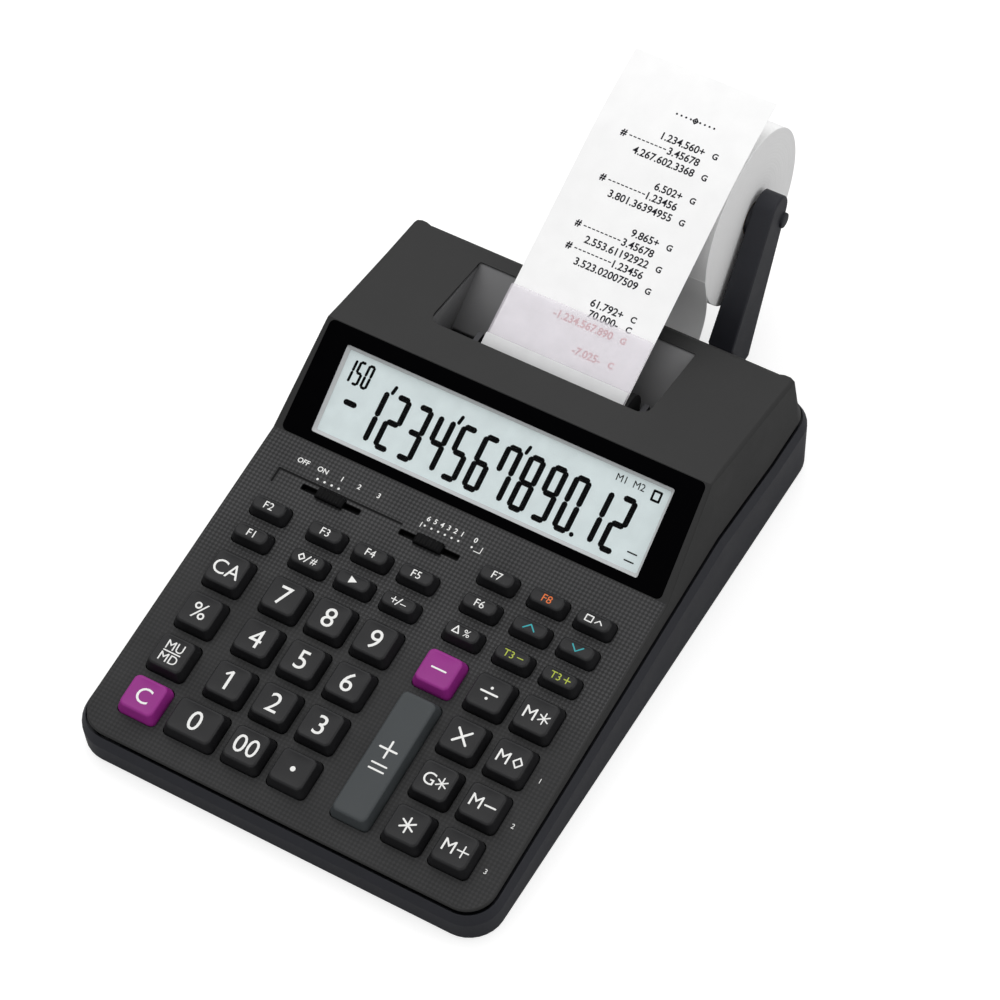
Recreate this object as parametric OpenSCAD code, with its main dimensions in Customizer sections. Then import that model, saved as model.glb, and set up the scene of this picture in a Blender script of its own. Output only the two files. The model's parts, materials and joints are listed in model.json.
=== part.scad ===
// Desk calculator with a paper-roll printer, in millimetres.
// X runs to the user's right, Y from the front edge to the rear, Z up.
// The origin is on the plane of the feet, under the middle of the whole object.

/* [Case] */
// Width of the lower case
case_w = 165; // [150:1:185]
// Depth of the lower case, without the roll holder
case_l = 237; // [228:1:260]
// Wall thickness of both cases
wall = 2.2; // [1.8:0.1:2.6]
// Plan radius of the front corners
front_corner_r = 13; // [10:1:22]
// Plan radius of the rear corners
rear_corner_r = 12; // [8:1:16]
// How far the lower case stands out past the upper one
ledge = 2.1; // [1.5:0.1:2.6]
// Height of the lower case's rim at the front
rim_front_z = 12.6; // [11:0.1:14]
// Rise of the rim per millimetre of depth
rim_slope = 0.105; // [0.09:0.005:0.12]
// Depth at which the rim is highest
rim_peak_y = 165; // [150:1:175]
// Height of the rim along the rear
rim_rear_z = 25.8; // [23:0.1:28]
// Open shadow line between the two cases
shadow_gap = 1.1; // [0.6:0.1:1.4]
// Height of the feet below the case
foot_proud = 1.5; // [1:0.1:2.5]
// Diameter of a foot
foot_d = 11; // [8:0.5:14]

/* [Top surface] */
// Height of the keyboard plate at the very front
plate_front_z = 14.5; // [14.3:0.1:16]
// Tilt of the keyboard plate
plate_tilt = 8.35; // [7:0.05:9]
// Depth at which the display slope starts
display_y = 130.2; // [128:0.1:132]
// Tilt of the display slope
display_tilt = 34.8; // [32:0.1:37]
// Length of the display slope
display_run = 43.5; // [42:0.5:46]
// Fall of the printer hump towards the rear
hump_fall = 8.9; // [7:0.1:10]
// How far the rear wall leans in by its top edge
rear_lean = 9.5; // [8:0.5:11]

/* [Display] */
// Margin between the display cover and each side of the case
window_side = 6; // [5.5:0.5:12]
// Thickness of the display cover
window_t = 1.8; // [1.5:0.1:2.2]
// Width of the cover's border on each side of the visible glass
display_border = 10.9; // [10:0.1:20]
// Lower edge of the visible glass, measured up the slope
lcd_view_low = 4; // [3.5:0.1:6]
// Upper edge of the visible glass, measured up the slope
lcd_view_high = 37; // [34:0.5:38]

/* [Keys] */
// Clear plate on the left of the keys
keys_left = 13.2; // [12.8:0.1:14]
// Clear plate on the right of the keys
keys_right = 13.6; // [12.8:0.1:14.2]
// Gap between the left column and the number block's columns
function_gap = 7.9; // [7.5:0.1:8.5]
// Gap between two columns of the number block
number_gap = 3.2; // [2.8:0.1:3.6]
// Gap between the number block and the plus-equals column
operator_gap = 10; // [9.5:0.1:10.5]
// Gap between the plus-equals and divide columns
multiply_gap = 4.5; // [4:0.1:5]
// Gap between the divide and memory columns
memory_gap = 3; // [2.7:0.1:3.3]
// Front row of large keys, measured up the plate
row_first = 19.5; // [18.5:0.1:20]
// Spacing of the rows of large keys
row_pitch = 18.05; // [17.8:0.05:18.2]
// Front row of small keys, measured up the plate
small_row_first = 89.5; // [88.8:0.1:90]
// Spacing of the rows of small keys
small_row_pitch = 11.95; // [11.6:0.05:12.2]
// Length of a large key at its base
key_l = 14.8; // [14:0.1:15.2]
// Extra width of the zero key, all on its left
zero_extra = 4.5; // [3:0.1:5]
// How much narrower a small key is than a large one
small_key_less = 0.4; // [0:0.1:2]
// Length of a small key at its base
small_key_l = 7.6; // [7:0.1:8]
// Height of the key tops above the plate
key_rise = 4.8; // [4:0.1:5.5]
// How much a key narrows from base to top, on each side
key_taper = 1.25; // [0.6:0.05:1.5]
// Travel of every key
key_travel = 2.5; // [1.5:0.1:2.6]
// Clearance between a moving piece and what guides it
run_gap = 0.3; // [0.2:0.05:0.4]

/* [Switches] */
// X of the mode switch's slot
mode_switch_x = -45.5; // [-47:0.5:-44]
// X of the decimal switch's slot
decimal_switch_x = -5.5; // [-7:0.5:-5]
// Position of both switches, measured up the plate
switch_s = 115.2; // [114.8:0.1:116]
// Length of a switch slot
switch_slot_l = 24; // [22:0.5:24]
// Length of a switch knob
switch_knob_l = 11; // [9:0.5:12]
// Depth of a switch knob
switch_knob_w = 3.6; // [3:0.1:4]

/* [Printer] */
// Width of the paper
paper_w = 57; // [56:0.5:58]
// X of the paper's middle
paper_x = 2; // [1:0.5:3]
// Thickness of the paper strip
paper_t = 0.4; // [0.3:0.05:0.5]
// Left edge of the trough
trough_left = -46; // [-48:0.5:-45]
// Right edge of the trough
trough_right = 42; // [42:0.5:44]
// Front edge of the trough
trough_front_y = 183; // [182:0.5:184]
// Rear edge of the trough
trough_rear_y = 219; // [218:0.5:220]
// Depth at which the trough's sloped floor ends
trough_foot_y = 198; // [198:0.5:200]
// Height at which the trough's sloped floor ends
trough_foot_z = 35.5; // [34:0.5:36]
// Depth of the platen's axis
platen_y = 190.5; // [190:0.5:191]
// Height of the platen's axis above the case bottom
platen_z = 41; // [40:0.5:41.5]
// Radius of the platen
platen_r = 7.5; // [7:0.1:7.6]
// Radius of the roller shafts
shaft_r = 2; // [1.5:0.1:2.5]
// Rise of the printed strip as it leaves the platen
tape_rise = 25; // [23:0.5:26]
// Length of the printed strip, past the platen
tape_length = 114; // [110:1:120]
// Length of the clear guard
tear_window_l = 25; // [22:0.5:27]

/* [Roll holder] */
// Radius of the paper roll
roll_r = 34.5; // [30:0.5:34.5]
// Radius of the roll's core hole
core_r = 6; // [5:0.5:7]
// Distance of the roll's axis behind the case
roll_behind = 45; // [44:0.5:48]
// Height of the roll's axis above the case bottom
roll_z = 53; // [51:0.5:53]
// Thickness of an arm at its hinge
arm_t = 7; // [6:0.5:7]
// Thickness of an arm beside the roll
arm_body_t = 10; // [9:0.5:10.5]
// Depth of an arm at its hinge
arm_d = 9; // [7:0.5:10]
// Depth of an arm beside the roll
arm_body_d = 14; // [12:0.5:15]
// Distance of the hinge axis behind the case
hinge_behind = 6.5; // [6:0.5:7]
// Height of the hinge axis above the case bottom
hinge_z = 12; // [11:0.5:13]
// Radius of the hinge pins
hinge_pin_r = 2.5; // [2:0.1:2.6]

/* [Battery bay] */
// Width of the battery bay
bay_w = 106; // [104:1:110]
// Depth of the battery bay
bay_l = 32; // [31:0.5:34]
// Front of the battery bay
bay_front_y = 134; // [132:1:135]
// Height of the battery bay
bay_h = 16.5; // [15.5:0.5:17]

/* [Hidden] */
$fn = 64;

charcoal = "#2f2f31";
navy_black = "#25262d";
key_black = "#202022";
purple = "#96328c";
key_grey = "#5a5f61";

// Case geometry. Y is measured from the front edge of the case, Z from its flat bottom.
roll_y = case_l + roll_behind;
case_front = -(roll_y + roll_r) / 2;
wall_side = wall + 0.6;
bottom_wall = ledge + 0.5;
eps = 0.01;
foot_side = 17.5;
foot_end = 20;
foot_seat = 1;
rim_dip_run = 40;
rim_dip_y = rim_peak_y + rim_dip_run;
window_w = case_w - 2 * window_side;
lcd_view_w = window_w - 2 * display_border;
rim_peak_z = rim_front_z + rim_slope * rim_peak_y;
rear_y = case_l - ledge;
hump_end = rear_y - rear_lean;
function plate_z(y) = plate_front_z + y * tan(plate_tilt);
display_z = plate_z(display_y);
crest_y = display_y + display_run * cos(display_tilt);
crest_z = display_z + display_run * sin(display_tilt);
function hump_z(y) = crest_z - (y - crest_y) * tan(hump_fall);

// Corner of a shell's inner face: two lines cross at p, at angles a and b, and move down by ta and tb.
function inner_corner(p, a, b, ta, tb) =
    let (na = [sin(a), -cos(a)], nb = [sin(b), -cos(b)], det = na.x * nb.y - na.y * nb.x)
    [p.x + (ta * nb.y - tb * na.y) / det, p.y + (tb * na.x - ta * nb.x) / det];

// Key columns and rows, in the plate's own frame.
column_gaps = [function_gap, number_gap, number_gap, operator_gap, multiply_gap, memory_gap];
columns = len(column_gaps) + 1;
function sum_to(list, count) = count == 0 ? 0 : list[count - 1] + sum_to(list, count - 1);
key_w = (case_w - keys_left - keys_right - sum_to(column_gaps, columns - 1)) / columns;
small_key_w = key_w - small_key_less;
column_x = [for (column = [0:columns - 1])
    keys_left - case_w / 2 + key_w * (column + 0.5) + sum_to(column_gaps, column)];
function row_s(row) = row_first + (row - 1) * row_pitch;
function small_row_s(row) = small_row_first + (row - 1) * small_row_pitch;
key_corner_r = 2.2;
key_shoulder = 1.1;
flange_t = 1.2;
flange_w = 0.8;
plunger_r = 2.5;
plunger_l = 1;
flange_top = -wall - run_gap;
plunger_bottom = flange_top - flange_t - plunger_l;
mat_top = plunger_bottom - key_travel - run_gap;
mat_t = 0.8;
dome_h = 1;
board_top = mat_top - mat_t;
board_t = 1.6;
board_half_w = case_w / 2 - 12.5;
board_front = 8.5;
board_rear = 122.5;
long_key_l = key_l + 2 * row_pitch;
zero_w = key_w + zero_extra;
zero_x = column_x[1] - zero_extra / 2;

// [x, s, width, length] of every key, from which the holes, domes and caps are made.
large_keys = concat(
    [for (row = [1:4]) [column_x[0], row_s(row), key_w, key_l]],
    [[zero_x, row_s(1), zero_w, key_l]],
    [for (column = [2:3]) [column_x[column], row_s(1), key_w, key_l]],
    [for (row = [2:4]) for (column = [1:3]) [column_x[column], row_s(row), key_w, key_l]],
    [[column_x[4], row_s(2), key_w, long_key_l], [column_x[4], row_s(4), key_w, key_l]],
    [for (row = [1:4]) for (column = [5:6]) [column_x[column], row_s(row), key_w, key_l]]
);
small_key_places = [
    for (row = [1:2]) for (column = [0:6]) [column, row],
    for (column = [4:6]) [column, 3]
];
small_keys = [for (place = small_key_places)
    [column_x[place.x], small_row_s(place.y), small_key_w, small_key_l]];
all_keys = concat(large_keys, small_keys);

window_gap = 0.15;
window_margin = 0.75;
window_corner_r = 2.5;
lcd_t = 4.4;
lcd_lap = 1;
seat_gap = 0.5;

switch_slot_w = switch_knob_w + 2 * run_gap;
switch_travel = (switch_slot_l - switch_knob_l) / 2 - run_gap;
switch_rise = 2;
switch_base_w = switch_slot_w + 2 * flange_w;
switch_base_l = switch_slot_l - 2;

// Posts that carry the upper case on the lower one: [x, y] from the front.
post_r = 3.2;
post_joint_z = 7;
post_x = case_w / 2 - bottom_wall - post_r - 3;
post_y = [front_corner_r / 3 + 13, display_y - 26.2, case_l - 18];
posts = [for (side = [-1, 1]) for (y = post_y) [side * post_x, y]];
board_posts = [for (column = [0, 3]) for (row = [2.5, 4.5])
    [(column_x[column] + column_x[column + 1]) / 2, row_s(row)]];
board_post_r = 1.6;

// Paper path: under the platen, round its front and out over it. Lists of [y, z].
paper_gap = 0.2;
platen_path_r = platen_r + paper_gap;
tape_leave = tape_rise + 90;
hinge_y = case_l + hinge_behind;
inlet_z = 15;
inlet_below = 7;
inlet_h = 12;
path_dip = [case_l - 12, inlet_z - 3.5];
path_run = [case_l - 24, inlet_z + 0.5];
inlet_w = paper_w + 5;
roll_path_r = roll_r + run_gap;
inlet_point = [case_l - 1, inlet_z];
roll_axis = [roll_y, roll_z];
to_roll = roll_axis - inlet_point;
to_roll_angle = atan2(to_roll.y, to_roll.x);
roll_tangent_angle = to_roll_angle + 180 - acos((roll_path_r + paper_t / 2) / norm(to_roll));
function around(centre, r, angle) = centre + r * [cos(angle), sin(angle)];
path_r = platen_path_r + paper_t / 2;
platen_axis = [platen_y, platen_z];
tape_start = around(platen_axis, path_r, tape_leave);
tape_end = tape_start + tape_length * [cos(tape_rise), sin(tape_rise)];
// Point at a distance up the leaving strip and a height over it.
function over_tape(up, lift) =
    tape_start + up * [cos(tape_rise), sin(tape_rise)] + lift * [-sin(tape_rise), cos(tape_rise)];
guard_lift = paper_t / 2 + 0.7;
guard_lap = 1.5;
guard_seat_l = 9;
guard_t = 1;
under_platen = 270;
wrap_step = 15;
paper_path = concat(
    [around(roll_axis, roll_path_r + paper_t / 2, roll_tangent_angle), inlet_point],
    [path_dip, path_run],
    [for (angle = [under_platen:-wrap_step:tape_leave + 1]) around(platen_axis, path_r, angle)],
    [tape_start, tape_end]
);

// Roll holder
arm_gap = 1.5;
arm_inner = paper_w / 2 + arm_gap;
arm_outer = arm_inner + arm_t;
hinge_axis = [hinge_y, hinge_z];
arm_knee = hinge_axis + [13, 5];
arm_eye = 0.3;
pin_root = 1;
arm_reach = 5;
arm_end = roll_axis + arm_reach * (roll_axis - arm_knee) / norm(roll_axis - arm_knee);
pin_l = 5;
lug_gap = run_gap;
lug_t = 5;
boss_r = core_r - 0.08;
shaft_gap = 0.05;
boss_l = 6;
frame_side = 4.2;
frame_x = paper_w / 2 + frame_side;
frame_t = 2;
ink_axis = platen_axis - [17.5, 6];
ink_r = 6;
ink_l = 24;
bay_wall = 1.6;
frame_front_y = bay_front_y + bay_l + bay_wall + run_gap;
motor_r = 11;
motor_l = 28;
motor_clear = 4;
door_t = 2;
door_pin_r = 0.8;
door_gap = 0.3;
door_barrel_r = door_t * 0.7;
door_w = bay_w - 2 * door_gap;
door_pin_l = 1.5;
dc_r = 2.75;
dc_depth = 9.5;
dc_x = -62;
dc_z = 12;

// Places its children in the case's frame.
module in_case() {
    translate([0, case_front, foot_proud]) children();
}

// Places its children on the keyboard plate: X, distance up the plate, height above it.
module on_plate() {
    in_case() translate([0, 0, plate_front_z]) rotate([plate_tilt, 0, 0]) children();
}

// Places its children on the display slope.
module on_display() {
    in_case() translate([0, display_y, display_z]) rotate([display_tilt, 0, 0]) children();
}

// Carries a flat [y, z] outline along X.
module along_x(x0, x1) {
    translate([x0, 0, 0]) rotate([90, 0, 90]) linear_extrude(x1 - x0) children();
}

// Plan of the case, drawn in by inset on every side.
module plan(inset = 0) {
    rf = front_corner_r - inset;
    rr = rear_corner_r - inset;
    half = case_w / 2 - inset;
    translate([0, inset]) union() {
        translate([-(half - rf), 0]) square([2 * (half - rf), rf + eps]);
        translate([-half, rf]) square([2 * half, case_l - 2 * inset - rf - rr]);
        translate([-(half - rr), case_l - 2 * inset - rr - eps]) square([2 * (half - rr), rr + eps]);
        for (side = [-1, 1]) {
            translate([side * (half - rf), rf]) circle(rf);
            translate([side * (half - rr), case_l - 2 * inset - rr]) circle(rr);
        }
    }
}

// Rectangle with round corners, centred.
module rounded_rect(w, l, r) {
    square([w - 2 * r, l], center = true);
    square([w, l - 2 * r], center = true);
    for (x = [-1, 1]) for (y = [-1, 1]) translate([x * (w / 2 - r), y * (l / 2 - r)]) circle(r, $fn = 24);
}

// A strip of thickness t along a path of [y, z] points.
function unit(v) = v / norm(v);
function path_normal(path, i) =
    let (a = path[max(i - 1, 0)], b = path[min(i + 1, len(path) - 1)], d = unit(b - a)) [-d.y, d.x];
module strip(path, t) {
    count = len(path);
    polygon(concat(
        [for (i = [0:count - 1]) path[i] + t / 2 * path_normal(path, i)],
        [for (i = [count - 1:-1:0]) path[i] - t / 2 * path_normal(path, i)]
    ));
}

// Outline of the lower case from the side.
module bottom_profile() {
    polygon([[0, 0], [case_l, 0], [case_l, rim_rear_z], [rim_dip_y, rim_rear_z],
             [rim_peak_y, rim_peak_z], [0, rim_front_z]]);
}

module bottom_case() {
    color(navy_black) in_case() {
        difference() {
            union() {
                intersection() {
                    along_x(-case_w / 2, case_w / 2) bottom_profile();
                    difference() {
                        linear_extrude(crest_z) plan();
                        translate([0, 0, wall]) linear_extrude(crest_z) plan(bottom_wall);
                    }
                }
                for (post = posts) translate([post.x, post.y, wall - eps])
                    cylinder(r = post_r, h = post_joint_z - wall + eps);
                battery_bay_walls();
                for (side = [-1, 1]) translate([paper_x, 0, 0]) hinge_lug(side);
                translate([dc_x, case_l - dc_depth - wall, dc_z]) rotate([-90, 0, 0])
                    cylinder(r = dc_r + wall, h = dc_depth + wall - bottom_wall / 2);
            }
            translate([paper_x - inlet_w / 2, case_l - bottom_wall - 1, inlet_z - inlet_below])
                cube([inlet_w, bottom_wall + 2, inlet_h]);
            translate([dc_x, case_l - dc_depth, dc_z]) rotate([-90, 0, 0]) cylinder(r = dc_r, h = dc_depth + 1);
            translate([-bay_w / 2, bay_front_y, -1]) cube([bay_w, bay_l, wall + 1 + eps]);
            for (foot = feet_places()) translate([foot.x, foot.y, -foot_seat]) cylinder(r = foot_d / 2, h = 2 * foot_seat);
            door_pin_bores();
        }
    }
}

// Walls and roof of the battery bay, open below.
module battery_bay_walls() {
    outer = [bay_w + 2 * bay_wall, bay_l + 2 * bay_wall, bay_h + bay_wall];
    difference() {
        translate([-outer.x / 2, bay_front_y - bay_wall, 0]) cube(outer);
        translate([-bay_w / 2, bay_front_y, -1]) cube([bay_w, bay_l, bay_h + 1]);
    }
}

// Lug at the rear of the lower case that takes one pin of the roll holder.
module hinge_lug(side) {
    near = arm_outer + lug_gap;
    x0 = side > 0 ? near : -near - lug_t;
    difference() {
        along_x(x0, x0 + lug_t) union() {
            translate(hinge_axis) circle(arm_d / 2);
            translate([case_l - bottom_wall / 2, hinge_z - arm_d / 2])
                square([hinge_y - case_l + bottom_wall / 2, arm_d]);
        }
        along_x(x0 - 1, x0 + lug_t + 1) translate(hinge_axis) circle(hinge_pin_r + shaft_gap);
    }
}

module door_pin_bores() {
    along_x(-door_w / 2 - door_pin_l - 0.2, door_w / 2 + door_pin_l + 0.2)
        translate([bay_front_y + bay_l - door_barrel_r - door_gap, door_barrel_r]) circle(door_pin_r + shaft_gap);
}

function feet_places() = [for (x = [-1, 1]) for (y = [foot_end, case_l - foot_end]) [x * (case_w / 2 - foot_side), y]];

// Outline of the upper case from the side, down to its lower edge.
module top_profile() {
    polygon([
        [ledge, rim_front_z + rim_slope * ledge + shadow_gap],
        [ledge, plate_z(ledge)],
        [display_y, display_z],
        [crest_y, crest_z],
        [hump_end, hump_z(hump_end)],
        [rear_y, rim_rear_z + shadow_gap],
        [rim_dip_y, rim_rear_z + shadow_gap],
        [rim_peak_y, rim_peak_z + shadow_gap]
    ]);
}

// Hollow of the upper case from the side.
module top_hollow_profile() {
    polygon([
        [ledge + wall_side, -1],
        [ledge + wall_side, plate_z(ledge + wall_side) - wall / cos(plate_tilt)],
        inner_corner([display_y, display_z], plate_tilt, display_tilt, wall, wall + window_t / 2),
        inner_corner([crest_y, crest_z], display_tilt, -hump_fall, wall + window_t / 2, wall),
        [hump_end - wall_side, hump_z(hump_end - wall_side) - wall],
        [rear_y - wall_side, rim_rear_z + shadow_gap],
        [rear_y - wall_side, -1]
    ]);
}

// Side outline of the trough's open space.
module trough_profile() {
    below = trough_foot_z - wall - 1;
    polygon([[trough_front_y, crest_z + 5], [trough_front_y, below], [trough_foot_y, below],
             [trough_foot_y, trough_foot_z], [trough_rear_y, hump_z(trough_rear_y)],
             [trough_rear_y + 1, crest_z + 5]]);
}

// Side outline of the trough's walls, which reach down to the end of its floor.
module trough_wall_profile() {
    polygon([[trough_front_y, hump_z(trough_front_y) - wall / 2], [trough_front_y, trough_foot_z - wall],
             [trough_foot_y + wall * 0.7, trough_foot_z - wall],
             [trough_rear_y + wall * 1.2, hump_z(trough_rear_y) - wall],
             [trough_rear_y + wall * 1.2, hump_z(trough_rear_y) - wall / 2]]);
}

module top_case() {
    color(charcoal) {
        difference() {
            in_case() union() {
                difference() {
                    intersection() {
                        along_x(-case_w / 2, case_w / 2) top_profile();
                        linear_extrude(crest_z + 1) plan(ledge);
                    }
                    intersection() {
                        along_x(-case_w / 2, case_w / 2) top_hollow_profile();
                        translate([0, 0, -1]) linear_extrude(crest_z + 2) plan(ledge + wall_side);
                    }
                }
                along_x(trough_left - wall, trough_right + wall) trough_wall_profile();
                intersection() {
                    for (post = posts) translate([post.x, post.y, post_joint_z])
                        cylinder(r = post_r, h = crest_z - post_joint_z);
                    along_x(-case_w / 2, case_w / 2) under_top_profile();
                }
            }
            in_case() along_x(trough_left, trough_right) trough_profile();
            on_plate() for (key = all_keys) translate([key.x, key.y, -wall - 2])
                linear_extrude(wall + 4) rounded_rect(key[2] + 2 * run_gap, key[3] + 2 * run_gap, key_corner_r);
            on_plate() for (x = [mode_switch_x, decimal_switch_x]) translate([x, switch_s, -wall - 2])
                linear_extrude(wall + 4) square([switch_slot_l, switch_slot_w], center = true);
            on_display() {
                translate([-window_w / 2 - window_gap, window_margin - window_gap, -window_t])
                    cube([window_w + 2 * window_gap, display_run - 2 * (window_margin - window_gap), window_t + wall]);
                translate([-lcd_view_w / 2 - lcd_lap - seat_gap, lcd_view_low - lcd_lap - seat_gap, -window_t - lcd_t - wall])
                    cube([lcd_view_w + 2 * (lcd_lap + seat_gap), lcd_view_high - lcd_view_low + 2 * (lcd_lap + seat_gap), lcd_t + 2 * wall]);
            }
        }
        on_plate() for (post = board_posts) translate([post.x, post.y, board_top])
            cylinder(r = board_post_r, h = -board_top - wall / 2);
    }
}

// Everything below the middle of the upper case's skin, where its posts end.
module under_top_profile() {
    half_wall = wall / 2;
    polygon([
        [ledge, 0],
        [ledge, plate_z(ledge) - half_wall],
        [display_y, display_z - half_wall],
        [crest_y, crest_z - half_wall],
        [hump_end, hump_z(hump_end) - half_wall],
        [hump_end, 0]
    ]);
}

module display_window() {
    color("#101014") on_display() translate([0, display_run / 2, -window_t])
        linear_extrude(window_t) rounded_rect(window_w, display_run - 2 * window_margin, window_corner_r);
}

module lcd_panel() {
    view_l = lcd_view_high - lcd_view_low;
    color("#d7e4e6") on_display() translate([0, (lcd_view_low + lcd_view_high) / 2, -window_t - lcd_t])
        linear_extrude(lcd_t) square([lcd_view_w + 2 * lcd_lap, view_l + 2 * lcd_lap], center = true);
}

module main_board() {
    color("#2f6b3f") on_plate() difference() {
        translate([-board_half_w, board_front, board_top - board_t])
            cube([2 * board_half_w, board_rear - board_front, board_t]);
        for (post = posts) if (abs(post.x) < board_half_w + post_r + 1)
            translate([post.x, post.y / cos(plate_tilt), board_top - board_t - 1])
                cylinder(r = post_r + 1, h = board_t + 2);
    }
}

module keypad_mat() {
    color("#8a8d90") on_plate() {
        difference() {
            translate([-board_half_w, board_front, board_top]) cube([2 * board_half_w, board_rear - board_front, mat_t]);
            for (post = posts) if (abs(post.x) < board_half_w + post_r + 1)
                translate([post.x, post.y / cos(plate_tilt), board_top - 1]) cylinder(r = post_r + 1, h = mat_t + 2);
            for (post = board_posts) translate([post.x, post.y, board_top - 1])
                cylinder(r = board_post_r + run_gap, h = mat_t + 2);
        }
        for (key = all_keys) translate([key.x, key.y, mat_top - eps]) difference() {
            cylinder(r = plunger_r + 1.8, h = dome_h, $fn = 32);
            translate([0, 0, -1]) cylinder(r = plunger_r + 2 * run_gap, h = dome_h + 2, $fn = 32);
        }
    }
}

// One key: a cap that narrows to its top, a flange under the plate and a plunger over its dome.
module key(x, s, w, l) {
    cap_bottom = flange_top - eps;
    on_plate() translate([x, s, 0]) {
        intersection() {
            translate([0, 0, cap_bottom]) linear_extrude(key_rise - cap_bottom) rounded_rect(w, l, key_corner_r);
            rotate([90, 0, 0]) linear_extrude(l + 2, center = true) cap_side(w, cap_bottom);
            rotate([90, 0, 90]) linear_extrude(w + 2, center = true) cap_side(l, cap_bottom);
        }
        translate([0, 0, flange_top - flange_t]) linear_extrude(flange_t)
            square([w + 2 * flange_w, l + 2 * flange_w], center = true);
        translate([0, 0, plunger_bottom]) cylinder(r = plunger_r, h = plunger_l + eps, $fn = 32);
    }
}

// Side of a cap: straight through the plate, then narrowing.
module cap_side(size, low) {
    half = size / 2;
    polygon([[-half, low], [half, low], [half, key_shoulder], [half - key_taper, key_rise],
             [-half + key_taper, key_rise], [-half, key_shoulder]]);
}

module large_key(column, row) { key(column_x[column], row_s(row), key_w, key_l); }
module small_key(column, row) { key(column_x[column], small_row_s(row), small_key_w, small_key_l); }

module key_clear() { color(purple) large_key(0, 1); }
module key_markup() { color(key_black) large_key(0, 2); }
module key_percent() { color(key_black) large_key(0, 3); }
module key_clear_all() { color(key_black) large_key(0, 4); }
module key_0() { color(key_black) key(zero_x, row_s(1), zero_w, key_l); }
module key_00() { color(key_black) large_key(2, 1); }
module key_point() { color(key_black) large_key(3, 1); }
module key_1() { color(key_black) large_key(1, 2); }
module key_2() { color(key_black) large_key(2, 2); }
module key_3() { color(key_black) large_key(3, 2); }
module key_4() { color(key_black) large_key(1, 3); }
module key_5() { color(key_black) large_key(2, 3); }
module key_6() { color(key_black) large_key(3, 3); }
module key_7() { color(key_black) large_key(1, 4); }
module key_8() { color(key_black) large_key(2, 4); }
module key_9() { color(key_black) large_key(3, 4); }
module key_plus_equals() { color(key_grey) key(column_x[4], row_s(2), key_w, long_key_l); }
module key_minus() { color(purple) large_key(4, 4); }
module key_total() { color(key_black) large_key(5, 1); }
module key_grand_total() { color(key_black) large_key(5, 2); }
module key_multiply() { color(key_black) large_key(5, 3); }
module key_divide() { color(key_black) large_key(5, 4); }
module key_memory_plus() { color(key_black) large_key(6, 1); }
module key_memory_minus() { color(key_black) large_key(6, 2); }
module key_memory_subtotal() { color(key_black) large_key(6, 3); }
module key_memory_total() { color(key_black) large_key(6, 4); }
module key_item() { color(key_black) small_key(0, 1); }
module key_nonadd() { color(key_black) small_key(1, 1); }
module key_backspace() { color(key_black) small_key(2, 1); }
module key_sign() { color(key_black) small_key(3, 1); }
module key_delta_percent() { color(key_black) small_key(4, 1); }
module key_tax_minus() { color(key_black) small_key(5, 1); }
module key_tax_plus() { color(key_black) small_key(6, 1); }
module key_time() { color(key_black) small_key(0, 2); }
module key_cost() { color(key_black) small_key(1, 2); }
module key_sell() { color(key_black) small_key(2, 2); }
module key_margin() { color(key_black) small_key(3, 2); }
module key_correct() { color(key_black) small_key(4, 2); }
module key_check_back() { color(key_black) small_key(5, 2); }
module key_check_next() { color(key_black) small_key(6, 2); }
module key_print() { color(key_black) small_key(4, 3); }
module key_reprint() { color(key_black) small_key(5, 3); }
module key_feed() { color(key_black) small_key(6, 3); }

// Slide switch: a knob in its slot and a wider slider under the plate.
module slide_switch(x) {
    on_plate() translate([x, switch_s, 0]) {
        translate([0, 0, flange_top - eps]) linear_extrude(switch_rise - flange_top + eps)
            square([switch_knob_l, switch_knob_w], center = true);
        translate([0, 0, flange_top - flange_t]) linear_extrude(flange_t)
            square([switch_base_l, switch_base_w], center = true);
    }
}
module mode_switch() { color("#141416") slide_switch(mode_switch_x); }
module decimal_switch() { color("#141416") slide_switch(decimal_switch_x); }

// Side plates, base and motor of the printer.
module printer_frame() {
    color("#8d9094") in_case() translate([paper_x, 0, 0]) {
        for (side = [-1, 1]) {
            x0 = side > 0 ? frame_x : -frame_x - frame_t;
            difference() {
                along_x(x0, x0 + frame_t) polygon([
                    [frame_front_y, wall], [trough_foot_y - 1, wall],
                    [trough_foot_y - 1, platen_z - 10], over_tape(guard_seat_l, guard_lift),
                    over_tape(-guard_lap, guard_lift), [frame_front_y, ink_axis.y + ink_r]
                ]);
                along_x(x0 - 1, x0 + frame_t + 1) {
                    translate(platen_axis) circle(shaft_r + shaft_gap);
                    translate(ink_axis) circle(shaft_r + shaft_gap);
                }
            }
        }
        translate([-frame_x - frame_t, frame_front_y, wall])
            cube([2 * (frame_x + frame_t), trough_foot_y - 1 - frame_front_y, wall]);
        along_x(frame_x + frame_t - eps, frame_x + frame_t + motor_l)
            translate([frame_front_y + motor_r + motor_clear, wall + motor_r + run_gap]) circle(motor_r);
    }
}

module platen_roller() {
    color("#2b2b2d") in_case() translate([paper_x, 0, 0]) {
        along_x(-paper_w / 2 - 1, paper_w / 2 + 1) translate(platen_axis) circle(platen_r);
        along_x(-frame_x - frame_t, frame_x + frame_t) translate(platen_axis) circle(shaft_r);
    }
}

module ink_roller() {
    color("#2a2440") in_case() translate([paper_x, 0, 0]) {
        along_x(-ink_l / 2, ink_l / 2) translate(ink_axis) circle(ink_r);
        along_x(-frame_x - frame_t, frame_x + frame_t) translate(ink_axis) circle(shaft_r);
    }
}

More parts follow.
